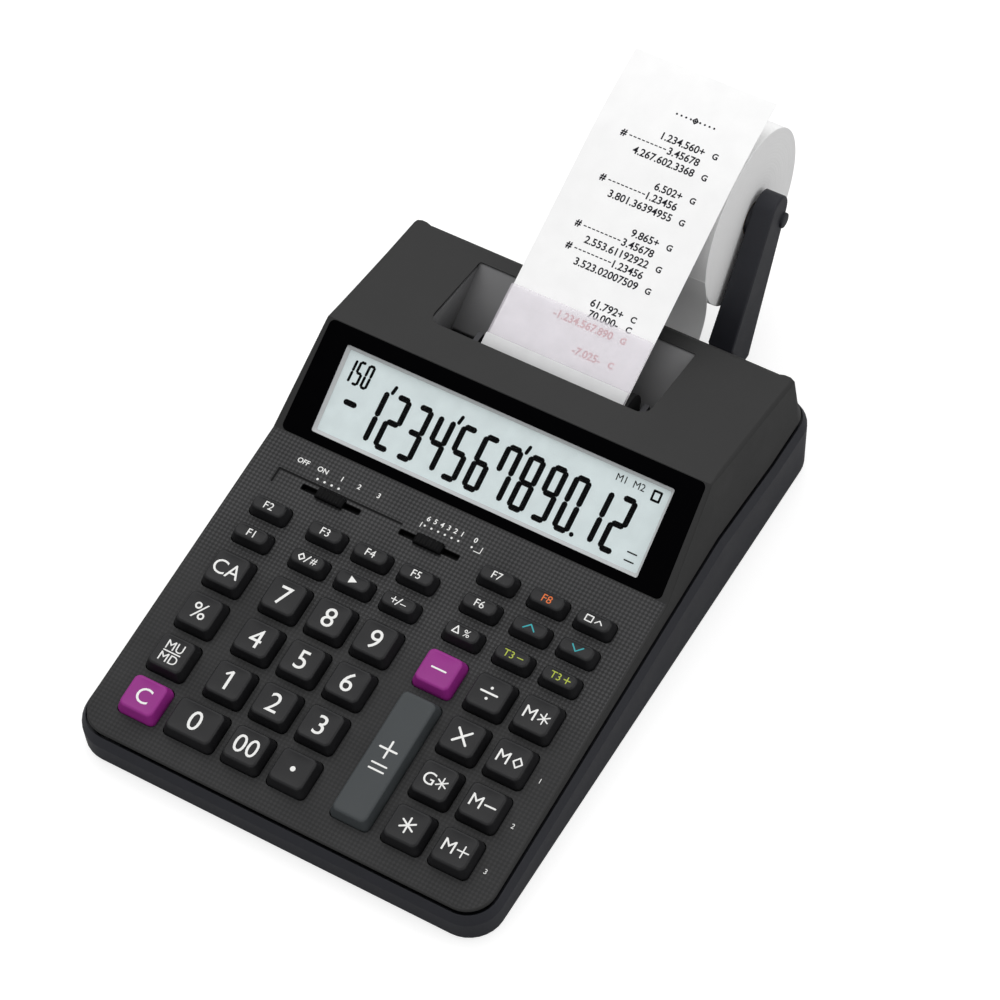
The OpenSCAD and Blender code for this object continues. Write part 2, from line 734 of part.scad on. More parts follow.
// Clear guard over the strip, standing on the printer's side plates.
module tear_window() {
    color("#c9ced2", 0.4) in_case() translate([paper_x, tape_start.x, tape_start.y]) rotate([tape_rise, 0, 0])
        translate([0, -guard_lap, guard_lift]) {
            translate([-paper_w / 2 - 1.5, 0, 0]) cube([paper_w + 3, tear_window_l + guard_lap, guard_t]);
            translate([-frame_x - frame_t, 0, 0]) cube([2 * (frame_x + frame_t), guard_seat_l + guard_lap, guard_t]);
        }
}

// Two arms on one cross bar, with hinge pins outside and roll bosses inside.
module paper_arms() {
    color(navy_black) in_case() translate([paper_x, 0, 0]) {
        for (side = [-1, 1]) {
            x0 = side > 0 ? arm_inner : -arm_outer;
            along_x(x0, x0 + arm_t) {
                strip([hinge_axis, arm_knee], arm_d);
                translate(hinge_axis) circle(arm_d / 2 + arm_eye);
            }
            body0 = side > 0 ? arm_inner : -arm_inner - arm_body_t;
            along_x(body0, body0 + arm_body_t) {
                strip([arm_knee, arm_end], arm_body_d);
                for (end = [arm_knee, arm_end]) translate(end) circle(arm_body_d / 2 + arm_eye);
            }
            pin0 = side > 0 ? arm_outer - pin_root : -arm_outer - pin_l;
            along_x(pin0, pin0 + pin_l + pin_root) translate(hinge_axis) circle(hinge_pin_r);
            boss0 = side > 0 ? arm_inner - boss_l : -arm_inner - pin_root;
            along_x(boss0, boss0 + boss_l + pin_root) translate(roll_axis) circle(boss_r);
        }
        along_x(-arm_inner - pin_root, arm_inner + pin_root) translate(hinge_axis) circle(arm_d / 2 - 1);
    }
}

module paper_roll() {
    color("#f2f2f0") in_case() translate([paper_x, 0, 0]) difference() {
        along_x(-paper_w / 2, paper_w / 2) translate(roll_axis) circle(roll_r);
        along_x(-paper_w / 2 - 1, paper_w / 2 + 1) translate(roll_axis) circle(core_r);
    }
}

module paper_tape() {
    color("#fafafa") in_case() along_x(paper_x - paper_w / 2, paper_x + paper_w / 2) strip(paper_path, paper_t);
}

module battery_door() {
    axis_y = bay_front_y + bay_l - door_barrel_r - door_gap;
    color(navy_black) in_case() {
        translate([-door_w / 2, bay_front_y + door_gap, 0]) cube([door_w, axis_y - bay_front_y - door_gap, door_t]);
        along_x(-door_w / 2, door_w / 2) translate([axis_y, door_barrel_r]) circle(door_barrel_r);
        along_x(-door_w / 2 - door_pin_l, door_w / 2 + door_pin_l) translate([axis_y, door_barrel_r]) circle(door_pin_r);
    }
}

module feet() {
    color("#161618") in_case() for (foot = feet_places()) translate([foot.x, foot.y, -foot_proud])
        cylinder(r = foot_d / 2, h = foot_proud + 1);
}

bottom_case();
top_case();
display_window();
lcd_panel();
main_board();
keypad_mat();
key_clear();
key_0();
key_00();
key_point();
key_plus_equals();
key_total();
key_memory_plus();
key_markup();
key_1();
key_2();
key_3();
key_grand_total();
key_memory_minus();
key_percent();
key_4();
key_5();
key_6();
key_multiply();
key_memory_subtotal();
key_clear_all();
key_7();
key_8();
key_9();
key_minus();
key_divide();
key_memory_total();
key_item();
key_nonadd();
key_backspace();
key_sign();
key_delta_percent();
key_tax_minus();
key_tax_plus();
key_time();
key_cost();
key_sell();
key_margin();
key_correct();
key_check_back();
key_check_next();
key_print();
key_reprint();
key_feed();
mode_switch();
decimal_switch();
printer_frame();
platen_roller();
ink_roller();
tear_window();
paper_arms();
paper_roll();
paper_tape();
battery_door();
feet();
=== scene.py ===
"""Desk calculator with a paper-roll printer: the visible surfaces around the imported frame.

Sizes are in millimetres in the case's own axes: X to the user's right, Y from the case's
front edge to the rear, Z up from its flat bottom. Form.model() carries them into the row frame.
"""

from __future__ import annotations

import json
import logging
import math
from collections.abc import Sequence
from dataclasses import dataclass, field
from enum import Enum

import bpy
import numpy as np
from mathutils import Matrix, Vector
from mathutils.geometry import delaunay_2d_cdt

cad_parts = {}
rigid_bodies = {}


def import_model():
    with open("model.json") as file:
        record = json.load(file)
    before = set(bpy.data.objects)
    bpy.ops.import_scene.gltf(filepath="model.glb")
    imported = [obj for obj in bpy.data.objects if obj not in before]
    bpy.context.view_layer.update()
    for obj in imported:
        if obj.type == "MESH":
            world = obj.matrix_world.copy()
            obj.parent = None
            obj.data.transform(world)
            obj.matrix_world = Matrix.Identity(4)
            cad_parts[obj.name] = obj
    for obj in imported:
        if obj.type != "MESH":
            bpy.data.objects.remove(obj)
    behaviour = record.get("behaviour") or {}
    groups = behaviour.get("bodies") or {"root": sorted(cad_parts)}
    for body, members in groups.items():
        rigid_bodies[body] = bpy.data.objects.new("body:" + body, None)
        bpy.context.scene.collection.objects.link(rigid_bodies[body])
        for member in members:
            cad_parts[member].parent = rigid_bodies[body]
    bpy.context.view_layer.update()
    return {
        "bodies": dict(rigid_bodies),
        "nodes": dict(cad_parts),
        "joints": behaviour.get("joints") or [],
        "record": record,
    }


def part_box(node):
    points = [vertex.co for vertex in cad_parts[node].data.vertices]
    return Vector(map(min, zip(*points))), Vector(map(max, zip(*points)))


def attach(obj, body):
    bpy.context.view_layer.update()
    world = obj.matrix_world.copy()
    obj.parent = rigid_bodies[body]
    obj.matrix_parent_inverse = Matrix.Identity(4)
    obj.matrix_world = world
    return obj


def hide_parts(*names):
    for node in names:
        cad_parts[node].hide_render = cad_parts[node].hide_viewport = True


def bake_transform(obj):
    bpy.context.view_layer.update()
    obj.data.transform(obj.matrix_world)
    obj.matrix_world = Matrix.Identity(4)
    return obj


LOG = logging.getLogger("desk_calculator")
MM = 0.001
Points = np.ndarray
Faces = list[tuple[int, ...]]
Pair = tuple[float, float]
Triple = tuple[float, float, float]
Object = bpy.types.Object
Material = bpy.types.Material
Socket = bpy.types.NodeSocket


def smoothstep(value: Points, low: float, high: float) -> Points:
    """Cubic ease from 0 at low to 1 at high.

    Args:
        value: numbers to ease.
        low: value that gives 0.
        high: value that gives 1.

    Returns:
        The eased numbers.
    """
    t = np.clip((np.asarray(value, float) - low) / (high - low), 0.0, 1.0)
    return t * t * (3.0 - 2.0 * t)


# ---- the case's form


@dataclass(frozen=True)
class Form:
    """Driving sizes of the case and the frames that its parts are drawn in."""

    width: float = 165.0
    depth: float = 237.0
    front_radius: float = 13.0
    rear_radius: float = 12.0
    ledge: float = 2.1
    rim_front: float = 12.6
    rim_slope: float = 0.105
    rim_peak_y: float = 165.0
    rim_dip_y: float = 205.0
    rim_rear: float = 25.8
    plate_front: float = 14.5
    plate_tilt: float = math.radians(8.35)
    slope_y: float = 130.2
    slope_tilt: float = math.radians(34.8)
    slope_run: float = 43.5
    hump_fall: float = math.radians(8.9)
    foot_height: float = 1.5
    roll_axis: Pair = (282.0, 53.0)
    roll_radius: float = 34.5
    paper_x: float = 2.0
    paper_width: float = 57.0
    hinge: Pair = (243.5, 12.0)
    side_stations: int = 18

    @property
    def slope_z(self) -> float:
        """Height at which the display slope starts."""
        return self.plate_front + self.slope_y * math.tan(self.plate_tilt)

    @property
    def crest(self) -> Pair:
        """[y, z] of the ridge between the display slope and the hump."""
        return (
            self.slope_y + self.slope_run * math.cos(self.slope_tilt),
            self.slope_z + self.slope_run * math.sin(self.slope_tilt),
        )

    def rim(self, y: Points) -> Points:
        """Height of the lower case's rim at depth y."""
        peak = self.rim_front + self.rim_slope * self.rim_peak_y
        return np.interp(
            y,
            [0.0, self.rim_peak_y, self.rim_dip_y, self.depth],
            [self.rim_front, peak, self.rim_rear, self.rim_rear],
        )

    def top(self, y: Points) -> Points:
        """Height of the upper case's top surface at depth y: three planes that meet in two creases."""
        crest_y, crest_z = self.crest
        rear_z = crest_z - (self.depth - crest_y) * math.tan(self.hump_fall)
        return np.interp(
            y,
            [0.0, self.slope_y, crest_y, self.depth],
            [self.plate_front, self.slope_z, crest_z, rear_z],
        )

    def plate(self, x: Points, s: Points, n: Points) -> Points:
        """Points of the keyboard plate's frame: x, distance s up the plate, height n above it."""
        return self._tilted(x, s, n, 0.0, self.plate_front, self.plate_tilt)

    def slope(self, x: Points, d: Points, n: Points) -> Points:
        """Points of the display slope's frame: x, distance d up the slope, height n above it."""
        return self._tilted(x, d, n, self.slope_y, self.slope_z, self.slope_tilt)

    @staticmethod
    def _tilted(x: Points, s: Points, n: Points, y0: float, z0: float, tilt: float) -> Points:
        """Carries points of a tilted plane to the case's axes.

        Args:
            x: across.
            s: up the plane.
            n: height over the plane.
            y0, z0: where the plane starts.
            tilt: its tilt about X, in radians.

        Returns:
            The points.
        """
        x, s, n = np.broadcast_arrays(x, s, n)
        cosine, sine = math.cos(tilt), math.sin(tilt)
        return np.stack([x, y0 + s * cosine - n * sine, z0 + s * sine + n * cosine], axis=-1)

    def model(self, points: Points) -> Points:
        """Case points in millimetres carried to the row frame in metres."""
        front = -(self.roll_axis[0] + self.roll_radius) / 2.0
        return (np.asarray(points, float) + [0.0, front, self.foot_height]) * MM

    def plan(self) -> Plan:
        """The case's rounded outline from above.

        Returns:
            Its arc centres, normals and radii.
        """
        half, crest_y = self.width / 2.0, self.crest[0]
        first, last = self.front_radius, self.depth - self.rear_radius
        marks = [self.slope_y, self.rim_peak_y, crest_y, self.rim_dip_y]
        side_y = np.unique(np.concatenate([np.linspace(first, last, self.side_stations), marks]))[1:-1]
        rear, front = self.rear_radius, self.front_radius
        centres, normals, radii = [], [], []

        def add(cx: Points, cy: Points, angle: Points, radius: float) -> None:
            """Adds a run of outline points."""
            cx, cy, angle = np.broadcast_arrays(cx, cy, angle)
            centres.append(np.stack([cx, cy], axis=-1))
            normals.append(np.stack([np.cos(angle), np.sin(angle)], axis=-1))
            radii.append(np.full(len(angle), radius))

        arc = np.linspace(0.0, math.pi / 2.0, 9)
        add(half - rear, side_y, np.zeros(len(side_y)), rear)
        add(half - rear, last, arc, rear)
        add(rear - half, last, arc + math.pi / 2.0, rear)
        add(rear - half, side_y[::-1], np.full(len(side_y), math.pi), rear)
        add(front - half, first, arc + math.pi, front)
        add(half - front, first, arc + 1.5 * math.pi, front)
        return Plan(np.concatenate(centres), np.concatenate(normals), np.concatenate(radii))


@dataclass(frozen=True)
class Plan:
    """A closed outline that can be drawn in by a different amount at every point."""

    centres: Points
    normals: Points
    radii: Points

    def inset(self, amount: Points | float) -> Points:
        """Outline points moved inwards by amount, counter-clockwise from above."""
        reach = np.maximum(self.radii - amount, 0.05)[:, None]
        return self.centres + reach * self.normals


# ---- meshes


@dataclass
class Shape:
    """Loose geometry: points in case millimetres, faces, and one material index for all of them."""

    points: Points
    faces: Faces
    material: int = 0


def grid_faces(rows: int, cols: int, closed: bool = True, wrapped: bool = False) -> Faces:
    """Quads of a grid of rows by cols points, row by row.

    Args:
        rows: number of loops.
        cols: points in a loop.
        closed: whether each loop closes on itself.
        wrapped: whether the last loop joins the first.

    Returns:
        Faces that point outwards for counter-clockwise loops stacked upwards.
    """
    r = np.arange(rows if wrapped else rows - 1)[:, None]
    c = np.arange(cols if closed else cols - 1)[None, :]
    up, along = (r + 1) % rows, (c + 1) % cols
    quads = np.stack(
        np.broadcast_arrays(r * cols + c, r * cols + along, up * cols + along, up * cols + c), -1
    )
    return [tuple(q) for q in quads.reshape(-1, 4).tolist()]


def loft(loops: Points, wrapped: bool = False, open_ends: bool = False) -> Shape:
    """Skins stacked loops of equal length, and closes each end with one flat face.

    Args:
        loops: array of rows by cols by 3.
        wrapped: joins the last loop to the first, as in a ring.
        open_ends: leaves the ends open.

    Returns:
        The lofted shape.
    """
    rows, cols = loops.shape[:2]
    faces = grid_faces(rows, cols, wrapped=wrapped)
    if not wrapped and not open_ends:
        faces.append(tuple(range(cols - 1, -1, -1)))
        faces.append(tuple(range((rows - 1) * cols, rows * cols)))
    return Shape(loops.reshape(-1, 3), faces)


def rounded_loop(half_w: Points, half_l: Points, radius: Points, arc: int = 6, side: int = 0) -> Points:
    """Rounded rectangle about the origin, counter-clockwise, with arc points on each corner.

    Args:
        half_w: half its width; a column of values gives one loop for each.
        half_l: half its length.
        radius: corner radius.
        arc: points on each corner.
        side: points between two corners.

    Returns:
        Array of (loops by) 4 * (arc + side) by 2.
    """
    angle = (np.linspace(0.0, math.pi / 2.0, arc) + np.arange(4)[:, None] * math.pi / 2.0).ravel()
    sign_x = np.repeat([1.0, -1.0, -1.0, 1.0], arc)
    sign_y = np.repeat([1.0, 1.0, -1.0, -1.0], arc)
    half_w, half_l, radius = (np.asarray(v, float)[..., None] for v in (half_w, half_l, radius))
    x = sign_x * (half_w - radius) + radius * np.cos(angle)
    y = sign_y * (half_l - radius) + radius * np.sin(angle)
    corners = np.stack(np.broadcast_arrays(x, y), axis=-1)
    corners = corners.reshape(*corners.shape[:-2], 4, arc, 2)
    leave, arrive = corners[..., -1:, :], np.roll(corners, -1, axis=-3)[..., :1, :]
    share = np.linspace(0.0, 1.0, side + 2)[1:-1, None]
    loop = np.concatenate([corners, leave + (arrive - leave) * share], axis=-2)
    return loop.reshape(*loop.shape[:-3], 4 * (arc + side), 2)


def prism(outline: Points, x0: float, x1: float) -> Shape:
    """A flat [y, z] outline, counter-clockwise seen from +X, carried along X.

    Args:
        outline: N by 2 points.
        x0: low end.
        x1: high end.

    Returns:
        The closed prism.
    """
    outline = np.asarray(outline, float)
    ends = [np.column_stack([np.full(len(outline), x), outline]) for x in (x0, x1)]
    return loft(np.stack(ends))


def disc_outline(centre: Pair, radius: float, count: int = 48) -> Points:
    """Circle of [y, z] points, counter-clockwise."""
    angle = np.arange(count) * 2.0 * math.pi / count
    return np.column_stack([centre[0] + radius * np.cos(angle), centre[1] + radius * np.sin(angle)])


def half_circle(count: int, lead: float = 0.0) -> Points:
    """Unit vectors over the half circle that faces a direction.

    Args:
        count: how many.
        lead: the direction, in radians from the first axis.

    Returns:
        count by 2 numbers.
    """
    turn = np.linspace(-math.pi / 2.0, math.pi / 2.0, count) + lead
    return np.column_stack([np.cos(turn), np.sin(turn)])


def turned(profile: Points, centre: Pair, axis: int, count: int) -> Points:
    """A profile turned about a line along X, Y or Z: every point of it becomes a circle.

    Args:
        profile: N by 2: radius, and place along the line.
        centre: where the line stands in the other two axes.
        axis: 0, 1 or 2 for X, Y or Z.
        count: points on a circle.

    Returns:
        N by count by 3 points.
    """
    turn = np.arange(count) * math.pi / (count / 2.0)
    radius, along = np.asarray(profile, float).T[:, :, None]
    axes = [centre[0] + radius * np.cos(turn), centre[1] + radius * np.sin(turn)]
    axes.insert(axis, along)
    return np.stack(np.broadcast_arrays(*axes), axis=-1)


def rounded_rows(rows: list[tuple[float, float, float, float]], side: int = 0) -> tuple[Points, Points]:
    """Rounded rectangles for rows of (half width, half length, corner radius, height).

    Args:
        rows: one row for each rectangle.
        side: points between two corners.

    Returns:
        Their loops, and a height for every point.
    """
    half_w, half_l, radius, height = np.array(rows).T
    loops = rounded_loop(half_w, half_l, radius, side=side)
    return loops, np.repeat(height[:, None], loops.shape[1], axis=1)


def inside(points: Points, loop: Points) -> Points:
    """Whether each point lies inside a closed loop, by counting the edges that a ray crosses.

    Args:
        points: N by 2.
        loop: M by 2, closed.

    Returns:
        N truth values.
    """
    ahead = np.roll(loop, -1, axis=0)
    x, y = points[:, 0][:, None], points[:, 1][:, None]
    spans = (loop[:, 1] > y) != (ahead[:, 1] > y)
    rise = np.where(ahead[:, 1] == loop[:, 1], 1.0, ahead[:, 1] - loop[:, 1])
    cross = loop[:, 0] + (y - loop[:, 1]) * (ahead[:, 0] - loop[:, 0]) / rise
    return (np.sum(spans & (x < cross), axis=1) % 2) == 1


def show(name: str, data: bpy.types.ID) -> Object:
    """Puts a new object that shows some data into the scene."""
    obj = bpy.data.objects.new(name, data)
    bpy.context.scene.collection.objects.link(obj)
    return obj


def baked(obj: Object) -> bpy.types.Mesh:
    """A new mesh of an object as its modifiers leave it."""
    bpy.context.view_layer.update()
    graph = bpy.context.evaluated_depsgraph_get()
    return bpy.data.meshes.new_from_object(obj.evaluated_get(graph))


def apply_modifiers(obj: Object) -> None:
    """Makes what a piece's modifiers do a part of its mesh."""
    mesh = baked(obj)
    obj.modifiers.clear()
    obj.data = mesh


def piece(name: str, shapes: Sequence[Shape], materials: list[Material], form: Form) -> Object:
    """Makes one object out of shapes.

    Args:
        name: the piece's name.
        shapes: geometry in case millimetres.
        materials: materials in the order of the shapes' indices.
        form: the case's form, which gives the row frame.

    Returns:
        The object, at the origin.
    """
    points = np.concatenate([s.points.reshape(-1, 3) for s in shapes])
    faces: Faces = []
    indices: list[int] = []
    start = 0
    for shape in shapes:
        faces.extend(tuple(start + i for i in face) for face in shape.faces)
        indices.extend([shape.material] * len(shape.faces))
        start += len(shape.points.reshape(-1, 3))
    mesh = bpy.data.meshes.new(name)
    mesh.from_pydata(form.model(points).tolist(), [], faces)
    for material in materials:
        mesh.materials.append(material)
    mesh.polygons.foreach_set("material_index", np.array(indices, dtype=np.int32))
    mesh.update()
    return show(name, mesh)


def settle(obj: Object, angle: float = 35.0, weighted: bool = False) -> Object:
    """Applies a piece's modifiers and smooths it, with edges over angle degrees kept sharp.

    Args:
        obj: the piece.
        angle: largest angle that is smoothed.
        weighted: whether large flat faces rule the normals near them.

    Returns:
        The same piece.
    """
    if len(obj.modifiers):
        apply_modifiers(obj)
    mesh = obj.data
    mesh.polygons.foreach_set("use_smooth", np.ones(len(mesh.polygons), dtype=bool))
    mesh.set_sharp_from_angle(angle=math.radians(angle))
    if weighted:
        obj.modifiers.new("flat faces rule", "WEIGHTED_NORMAL").keep_sharp = True
    return obj


def soften(obj: Object, width: float) -> None:
    """Rounds a piece's edges.

    Args:
        obj: the piece.
        width: how far the edge's round reaches, in millimetres.
    """
    bevel = obj.modifiers.new("edge radius", "BEVEL")
    bevel.width = width * MM
    bevel.segments = 2
    bevel.limit_method = "ANGLE"
    bevel.angle_limit = math.radians(30.0)


def cut(obj: Object, cutters: tuple[Shape, ...], form: Form) -> None:
    """Takes closed shapes out of a piece.

    Args:
        obj: the piece.
        cutters: the shapes.
        form: the case's form, which gives the row frame.
    """
    tool = piece(obj.name + "_cutter", cutters, [], form)
    boolean = obj.modifiers.new("openings", "BOOLEAN")
    boolean.operation = "DIFFERENCE"
    boolean.solver = "EXACT"
    boolean.object = tool
    boolean.use_self = True
    apply_modifiers(obj)
    bpy.data.objects.remove(tool)


def weld(obj: Object, distance_mm: float) -> None:
    """Merges points of a piece that lie together."""
    obj.modifiers.new("weld", "WELD").merge_threshold = distance_mm * MM
    apply_modifiers(obj)


# ---- marks and lettering


class Marks:
    """Flat printed marks in a surface's own two axes, as thin closed solids."""

    thickness = 0.12
    capital_share = 0.73

    @classmethod
    def polygon(cls, outline: Points) -> Shape:
        """A flat mark that reaches from its thickness below the surface up to it.

        Args:
            outline: N by 2 points, counter-clockwise.

        Returns:
            The mark.
        """
        outline = np.asarray(outline, float)
        low = np.column_stack([outline, np.full(len(outline), -cls.thickness)])
        high = np.column_stack([outline, np.zeros(len(outline))])
        return loft(np.stack([low, high]))

    @classmethod
    def stroke(cls, start: Pair, end: Pair, width: float) -> Shape:
        """A straight stroke with round ends.

        Args:
            start: middle of its first end.
            end: middle of its last end.
            width: its width.

        Returns:
            The stroke.
        """
        a, b = np.array(start, float), np.array(end, float)
        along = b - a
        cap = half_circle(7, math.atan2(along[1], along[0])) * width / 2.0
        return cls.polygon(np.concatenate([b + cap, a - cap]))

    @classmethod
    def path(cls, corners: list[Pair], width: float) -> list[Shape]:
        """Strokes from corner to corner."""
        return [cls.stroke(a, b, width) for a, b in zip(corners, corners[1:])]

    @classmethod
    def dot(cls, centre: Pair, radius: float) -> Shape:
        """A round dot."""
        return cls.polygon(disc_outline(centre, radius, 20))

    @classmethod
    def text(cls, words: str, height: float, bold: float = 0.0) -> Shape:
        """Lettering in the plain built-in typeface, centred on the origin.

        Args:
            words: what it says.
            height: height of its capitals.
            bold: how far each outline is fattened.

        Returns:
            The lettering as a thin solid.
        """
        curve = bpy.data.curves.new("lettering", "FONT")
        curve.body = words
        curve.size = height / cls.capital_share
        curve.offset = bold
        curve.resolution_u = 4
        curve.extrude = cls.thickness / 2.0
        obj = show("lettering", curve)
        mesh = baked(obj)
        points = np.zeros(len(mesh.vertices) * 3)
        mesh.vertices.foreach_get("co", points)
        points = points.reshape(-1, 3)
        faces = [tuple(p.vertices) for p in mesh.polygons]
        bpy.data.objects.remove(obj)
        bpy.data.curves.remove(curve)
        bpy.data.meshes.remove(mesh)
        middle = (points.min(0) + points.max(0)) / 2.0
        points = points - [middle[0], middle[1], cls.thickness / 2.0]
        return Shape(points, faces)

    @staticmethod
    def moved(shapes: list[Shape], x: float, y: float, scale: float = 1.0) -> list[Shape]:
        """Marks scaled and moved in their plane."""
        return [Shape(s.points * [scale, scale, 1.0] + [x, y, 0.0], s.faces, s.material) for s in shapes]


class Sign(Enum):
    """Signs that are drawn with strokes, about 1 high."""

    PLUS = "plus"
    MINUS = "minus"
    TIMES = "times"
    DIVIDE = "divide"
    EQUALS = "equals"
    STAR = "star"
    DIAMOND = "diamond"
    UP = "up"
    DOWN = "down"
    FORWARD = "forward"
    TRIANGLE = "triangle"
    POINT = "point"
    SLASH = "slash"
    LEAF = "leaf"

    def shapes(self, width: float) -> list[Shape]:
        """The sign's strokes.

        Args:
            width: stroke width, as a share of the sign's height.

        Returns:
            Shapes about 1 unit high, centred.
        """
        h, q = 0.5, 0.36
        level = [(-h, 0), (h, 0)]
        rays = [(h * math.cos(a), h * math.sin(a)) for a in np.radians([90, 30, -30]).tolist()]
        strokes = {
            Sign.PLUS: [level, [(0, -h), (0, h)]],
            Sign.MINUS: [level],
            Sign.TIMES: [[(-q, -q), (q, q)], [(-q, q), (q, -q)]],
            Sign.DIVIDE: [level],
            Sign.EQUALS: [[(-h, y), (h, y)] for y in (-0.2, 0.2)],
            Sign.STAR: [[(-x, -y), (x, y)] for x, y in rays],
            Sign.DIAMOND: [[(0, -0.4), (q, 0), (0, 0.4), (-q, 0), (0, -0.4)]],
            Sign.UP: [[(-h, -0.25), (0, 0.25), (h, -0.25)]],
            Sign.DOWN: [[(-h, 0.25), (0, -0.25), (h, 0.25)]],
            Sign.TRIANGLE: [[(-0.42, -0.4), (0.42, -0.4), (0, 0.45), (-0.42, -0.4)]],
            Sign.SLASH: [[(-0.25, -h), (0.25, h)]],
            Sign.LEAF: [[(-0.45, 0.4), (0.45, 0.4), (0.45, -0.4), (-0.45, -0.4), (-0.45, 0.4)]],
        }
        found = [shape for corners in strokes.get(self, []) for shape in Marks.path(corners, width)]
        if self is Sign.DIVIDE:
            found += [Marks.dot((0, y), 0.75 * width) for y in (0.34, -0.34)]
        if self is Sign.FORWARD:
            found.append(Marks.polygon([(-0.4, -0.45), (0.5, 0), (-0.4, 0.45)]))
        if self is Sign.POINT:
            found.append(Marks.dot((0, 0), 0.3))
        return found


# ---- finishes


def linear(red: float, green: float, blue: float) -> tuple[float, float, float, float]:
    """A screen colour of 0 to 255 as a linear colour."""
    scaled = np.array([red, green, blue]) / 255.0
    low, high = scaled / 12.92, ((scaled + 0.055) / 1.055) ** 2.4
    return (*np.where(scaled <= 0.04045, low, high).tolist(), 1.0)


def shaded(colour: tuple[float, ...], share: float) -> tuple[float, ...]:
    """A linear colour made darker or lighter by a share."""
    return (*[min(1.0, c * share) for c in colour[:3]], 1.0)


class Board:
    """A material's node tree, with short calls that add and link nodes."""

    def __init__(self, name: str) -> None:
        """Starts a material with one Principled shader."""
        self.material = bpy.data.materials.new(name)
        self.material.use_nodes = True
        self.nodes = self.material.node_tree.nodes
        self.links = self.material.node_tree.links
        self.shader = self.nodes["Principled BSDF"]

    def add(self, kind: str, inputs: dict[str | int, object], **settings: object) -> bpy.types.Node:
        """Adds a node.

        Args:
            kind: the node's type.
            inputs: socket name or number to a value, or to an output socket that feeds it.
            **settings: the node's own properties.

        Returns:
            The node.
        """
        node = self.nodes.new(kind)
        for key, value in settings.items():
            setattr(node, key, value)
        for key, value in inputs.items():
            self.feed(node, key, value)
        return node

    def feed(self, node: bpy.types.Node, key: str | int, value: object) -> None:
        """Sets or links one input."""
        if isinstance(value, Socket):
            self.links.new(value, node.inputs[key])
        else:
            node.inputs[key].default_value = value

    def put(self, key: str, value: object) -> None:
        """Sets or links one of the shader's own inputs."""
        self.feed(self.shader, key, value)

    def coordinates(self, turn: float = 0.0) -> Socket:
        """Object coordinates, turned about X by turn radians so that a tilted plane lies flat."""
        source = self.add("ShaderNodeTexCoord", {}).outputs["Object"]
        mapping = self.add("ShaderNodeMapping", {"Vector": source, "Rotation": (-turn, 0.0, 0.0)})
        return mapping.outputs["Vector"]

    def noise(self, where: object, grain_mm: float, detail: float = 3.0) -> Socket:
        """Noise with a grain of that many millimetres."""
        inputs = {"Vector": where, "Scale": 1000.0 / grain_mm, "Detail": detail}
        return self.add("ShaderNodeTexNoise", inputs).outputs["Fac"]

    def carry(
        self, value: object, source: Pair, target: Pair, kind: str = "LINEAR"
    ) -> Socket:
        """Carries one range of values to another.

        Args:
            value: the value.
            source: its low and high end.
            target: what they become.
            kind: how the values between them run.

        Returns:
            The result.
        """
        ends = dict(zip(("From Min", "From Max", "To Min", "To Max"), (*source, *target)))
        node = self.add("ShaderNodeMapRange", {"Value": value, **ends}, interpolation_type=kind)
        return node.outputs["Result"]

    def spread(self, factor: object, low: float, high: float) -> Socket:
        """Carries a 0 to 1 factor's middle part to low..high."""
        return self.carry(factor, (0.3, 0.7), (low, high))

    def maths(self, operation: str, a: object, b: object = 0.0) -> Socket:
        """One step of arithmetic."""
        return self.add("ShaderNodeMath", {0: a, 1: b}, operation=operation).outputs["Value"]

    def blend(self, factor: object, dark: object, light: object) -> Socket:
        """Mixes two colours."""
        node = self.add("ShaderNodeMix", {"Factor": factor, "A": dark, "B": light}, data_type="RGBA")
        return node.outputs["Result"]

    def relief(self, height: Socket, depth_mm: float, strength: float) -> None:
        """Raises the surface.

        Args:
            height: 0 to 1.
            depth_mm: how far a height of 1 stands out.
            strength: share of the relief that shows.
        """
        inputs = {"Height": height, "Distance": depth_mm * MM, "Strength": strength}
        bump = self.add("ShaderNodeBump", inputs)
        self.put("Normal", bump.outputs["Normal"])

    def tint(self, factor: Socket, colour: tuple[float, ...], swing: float) -> None:
        """Lets the base colour swing lightly about a colour.

        Args:
            factor: what it follows.
            colour: the middle colour.
            swing: share by which it gets darker and lighter.
        """
        dark, light = shaded(colour, 1.0 - swing), shaded(colour, 1.0 + swing)
        self.put("Base Color", self.blend(self.spread(factor, 0.0, 1.0), dark, light))


@dataclass(frozen=True)
class Moulding:
    """Moulded plastic or rubber: a fine spark-eroded grain, with colour and gloss that vary a little."""

    name: str
    colour: Triple
    roughness: float = 0.5
    grain_mm: float = 0.35
    depth_mm: float = 0.012
    swing: float = 0.06
    specular: float = 0.5

    def material(self) -> Material:
        """Builds the material.

        Returns:
            The material.
        """
        board = Board(self.name)
        where = board.coordinates()
        grain = board.noise(where, self.grain_mm)
        cloud = board.noise(where, 14.0, 4.0)
        board.tint(cloud, linear(*self.colour), self.swing)
        broad, fine = board.maths("MULTIPLY", cloud, 0.6), board.maths("MULTIPLY", grain, 0.4)
        wear = board.maths("ADD", broad, fine)
        rough = board.spread(wear, self.roughness - 0.06, self.roughness + 0.06)
        board.put("Roughness", rough)
        board.put("Specular IOR Level", self.specular)
        board.relief(grain, self.depth_mm, 1.0)
        return board.material


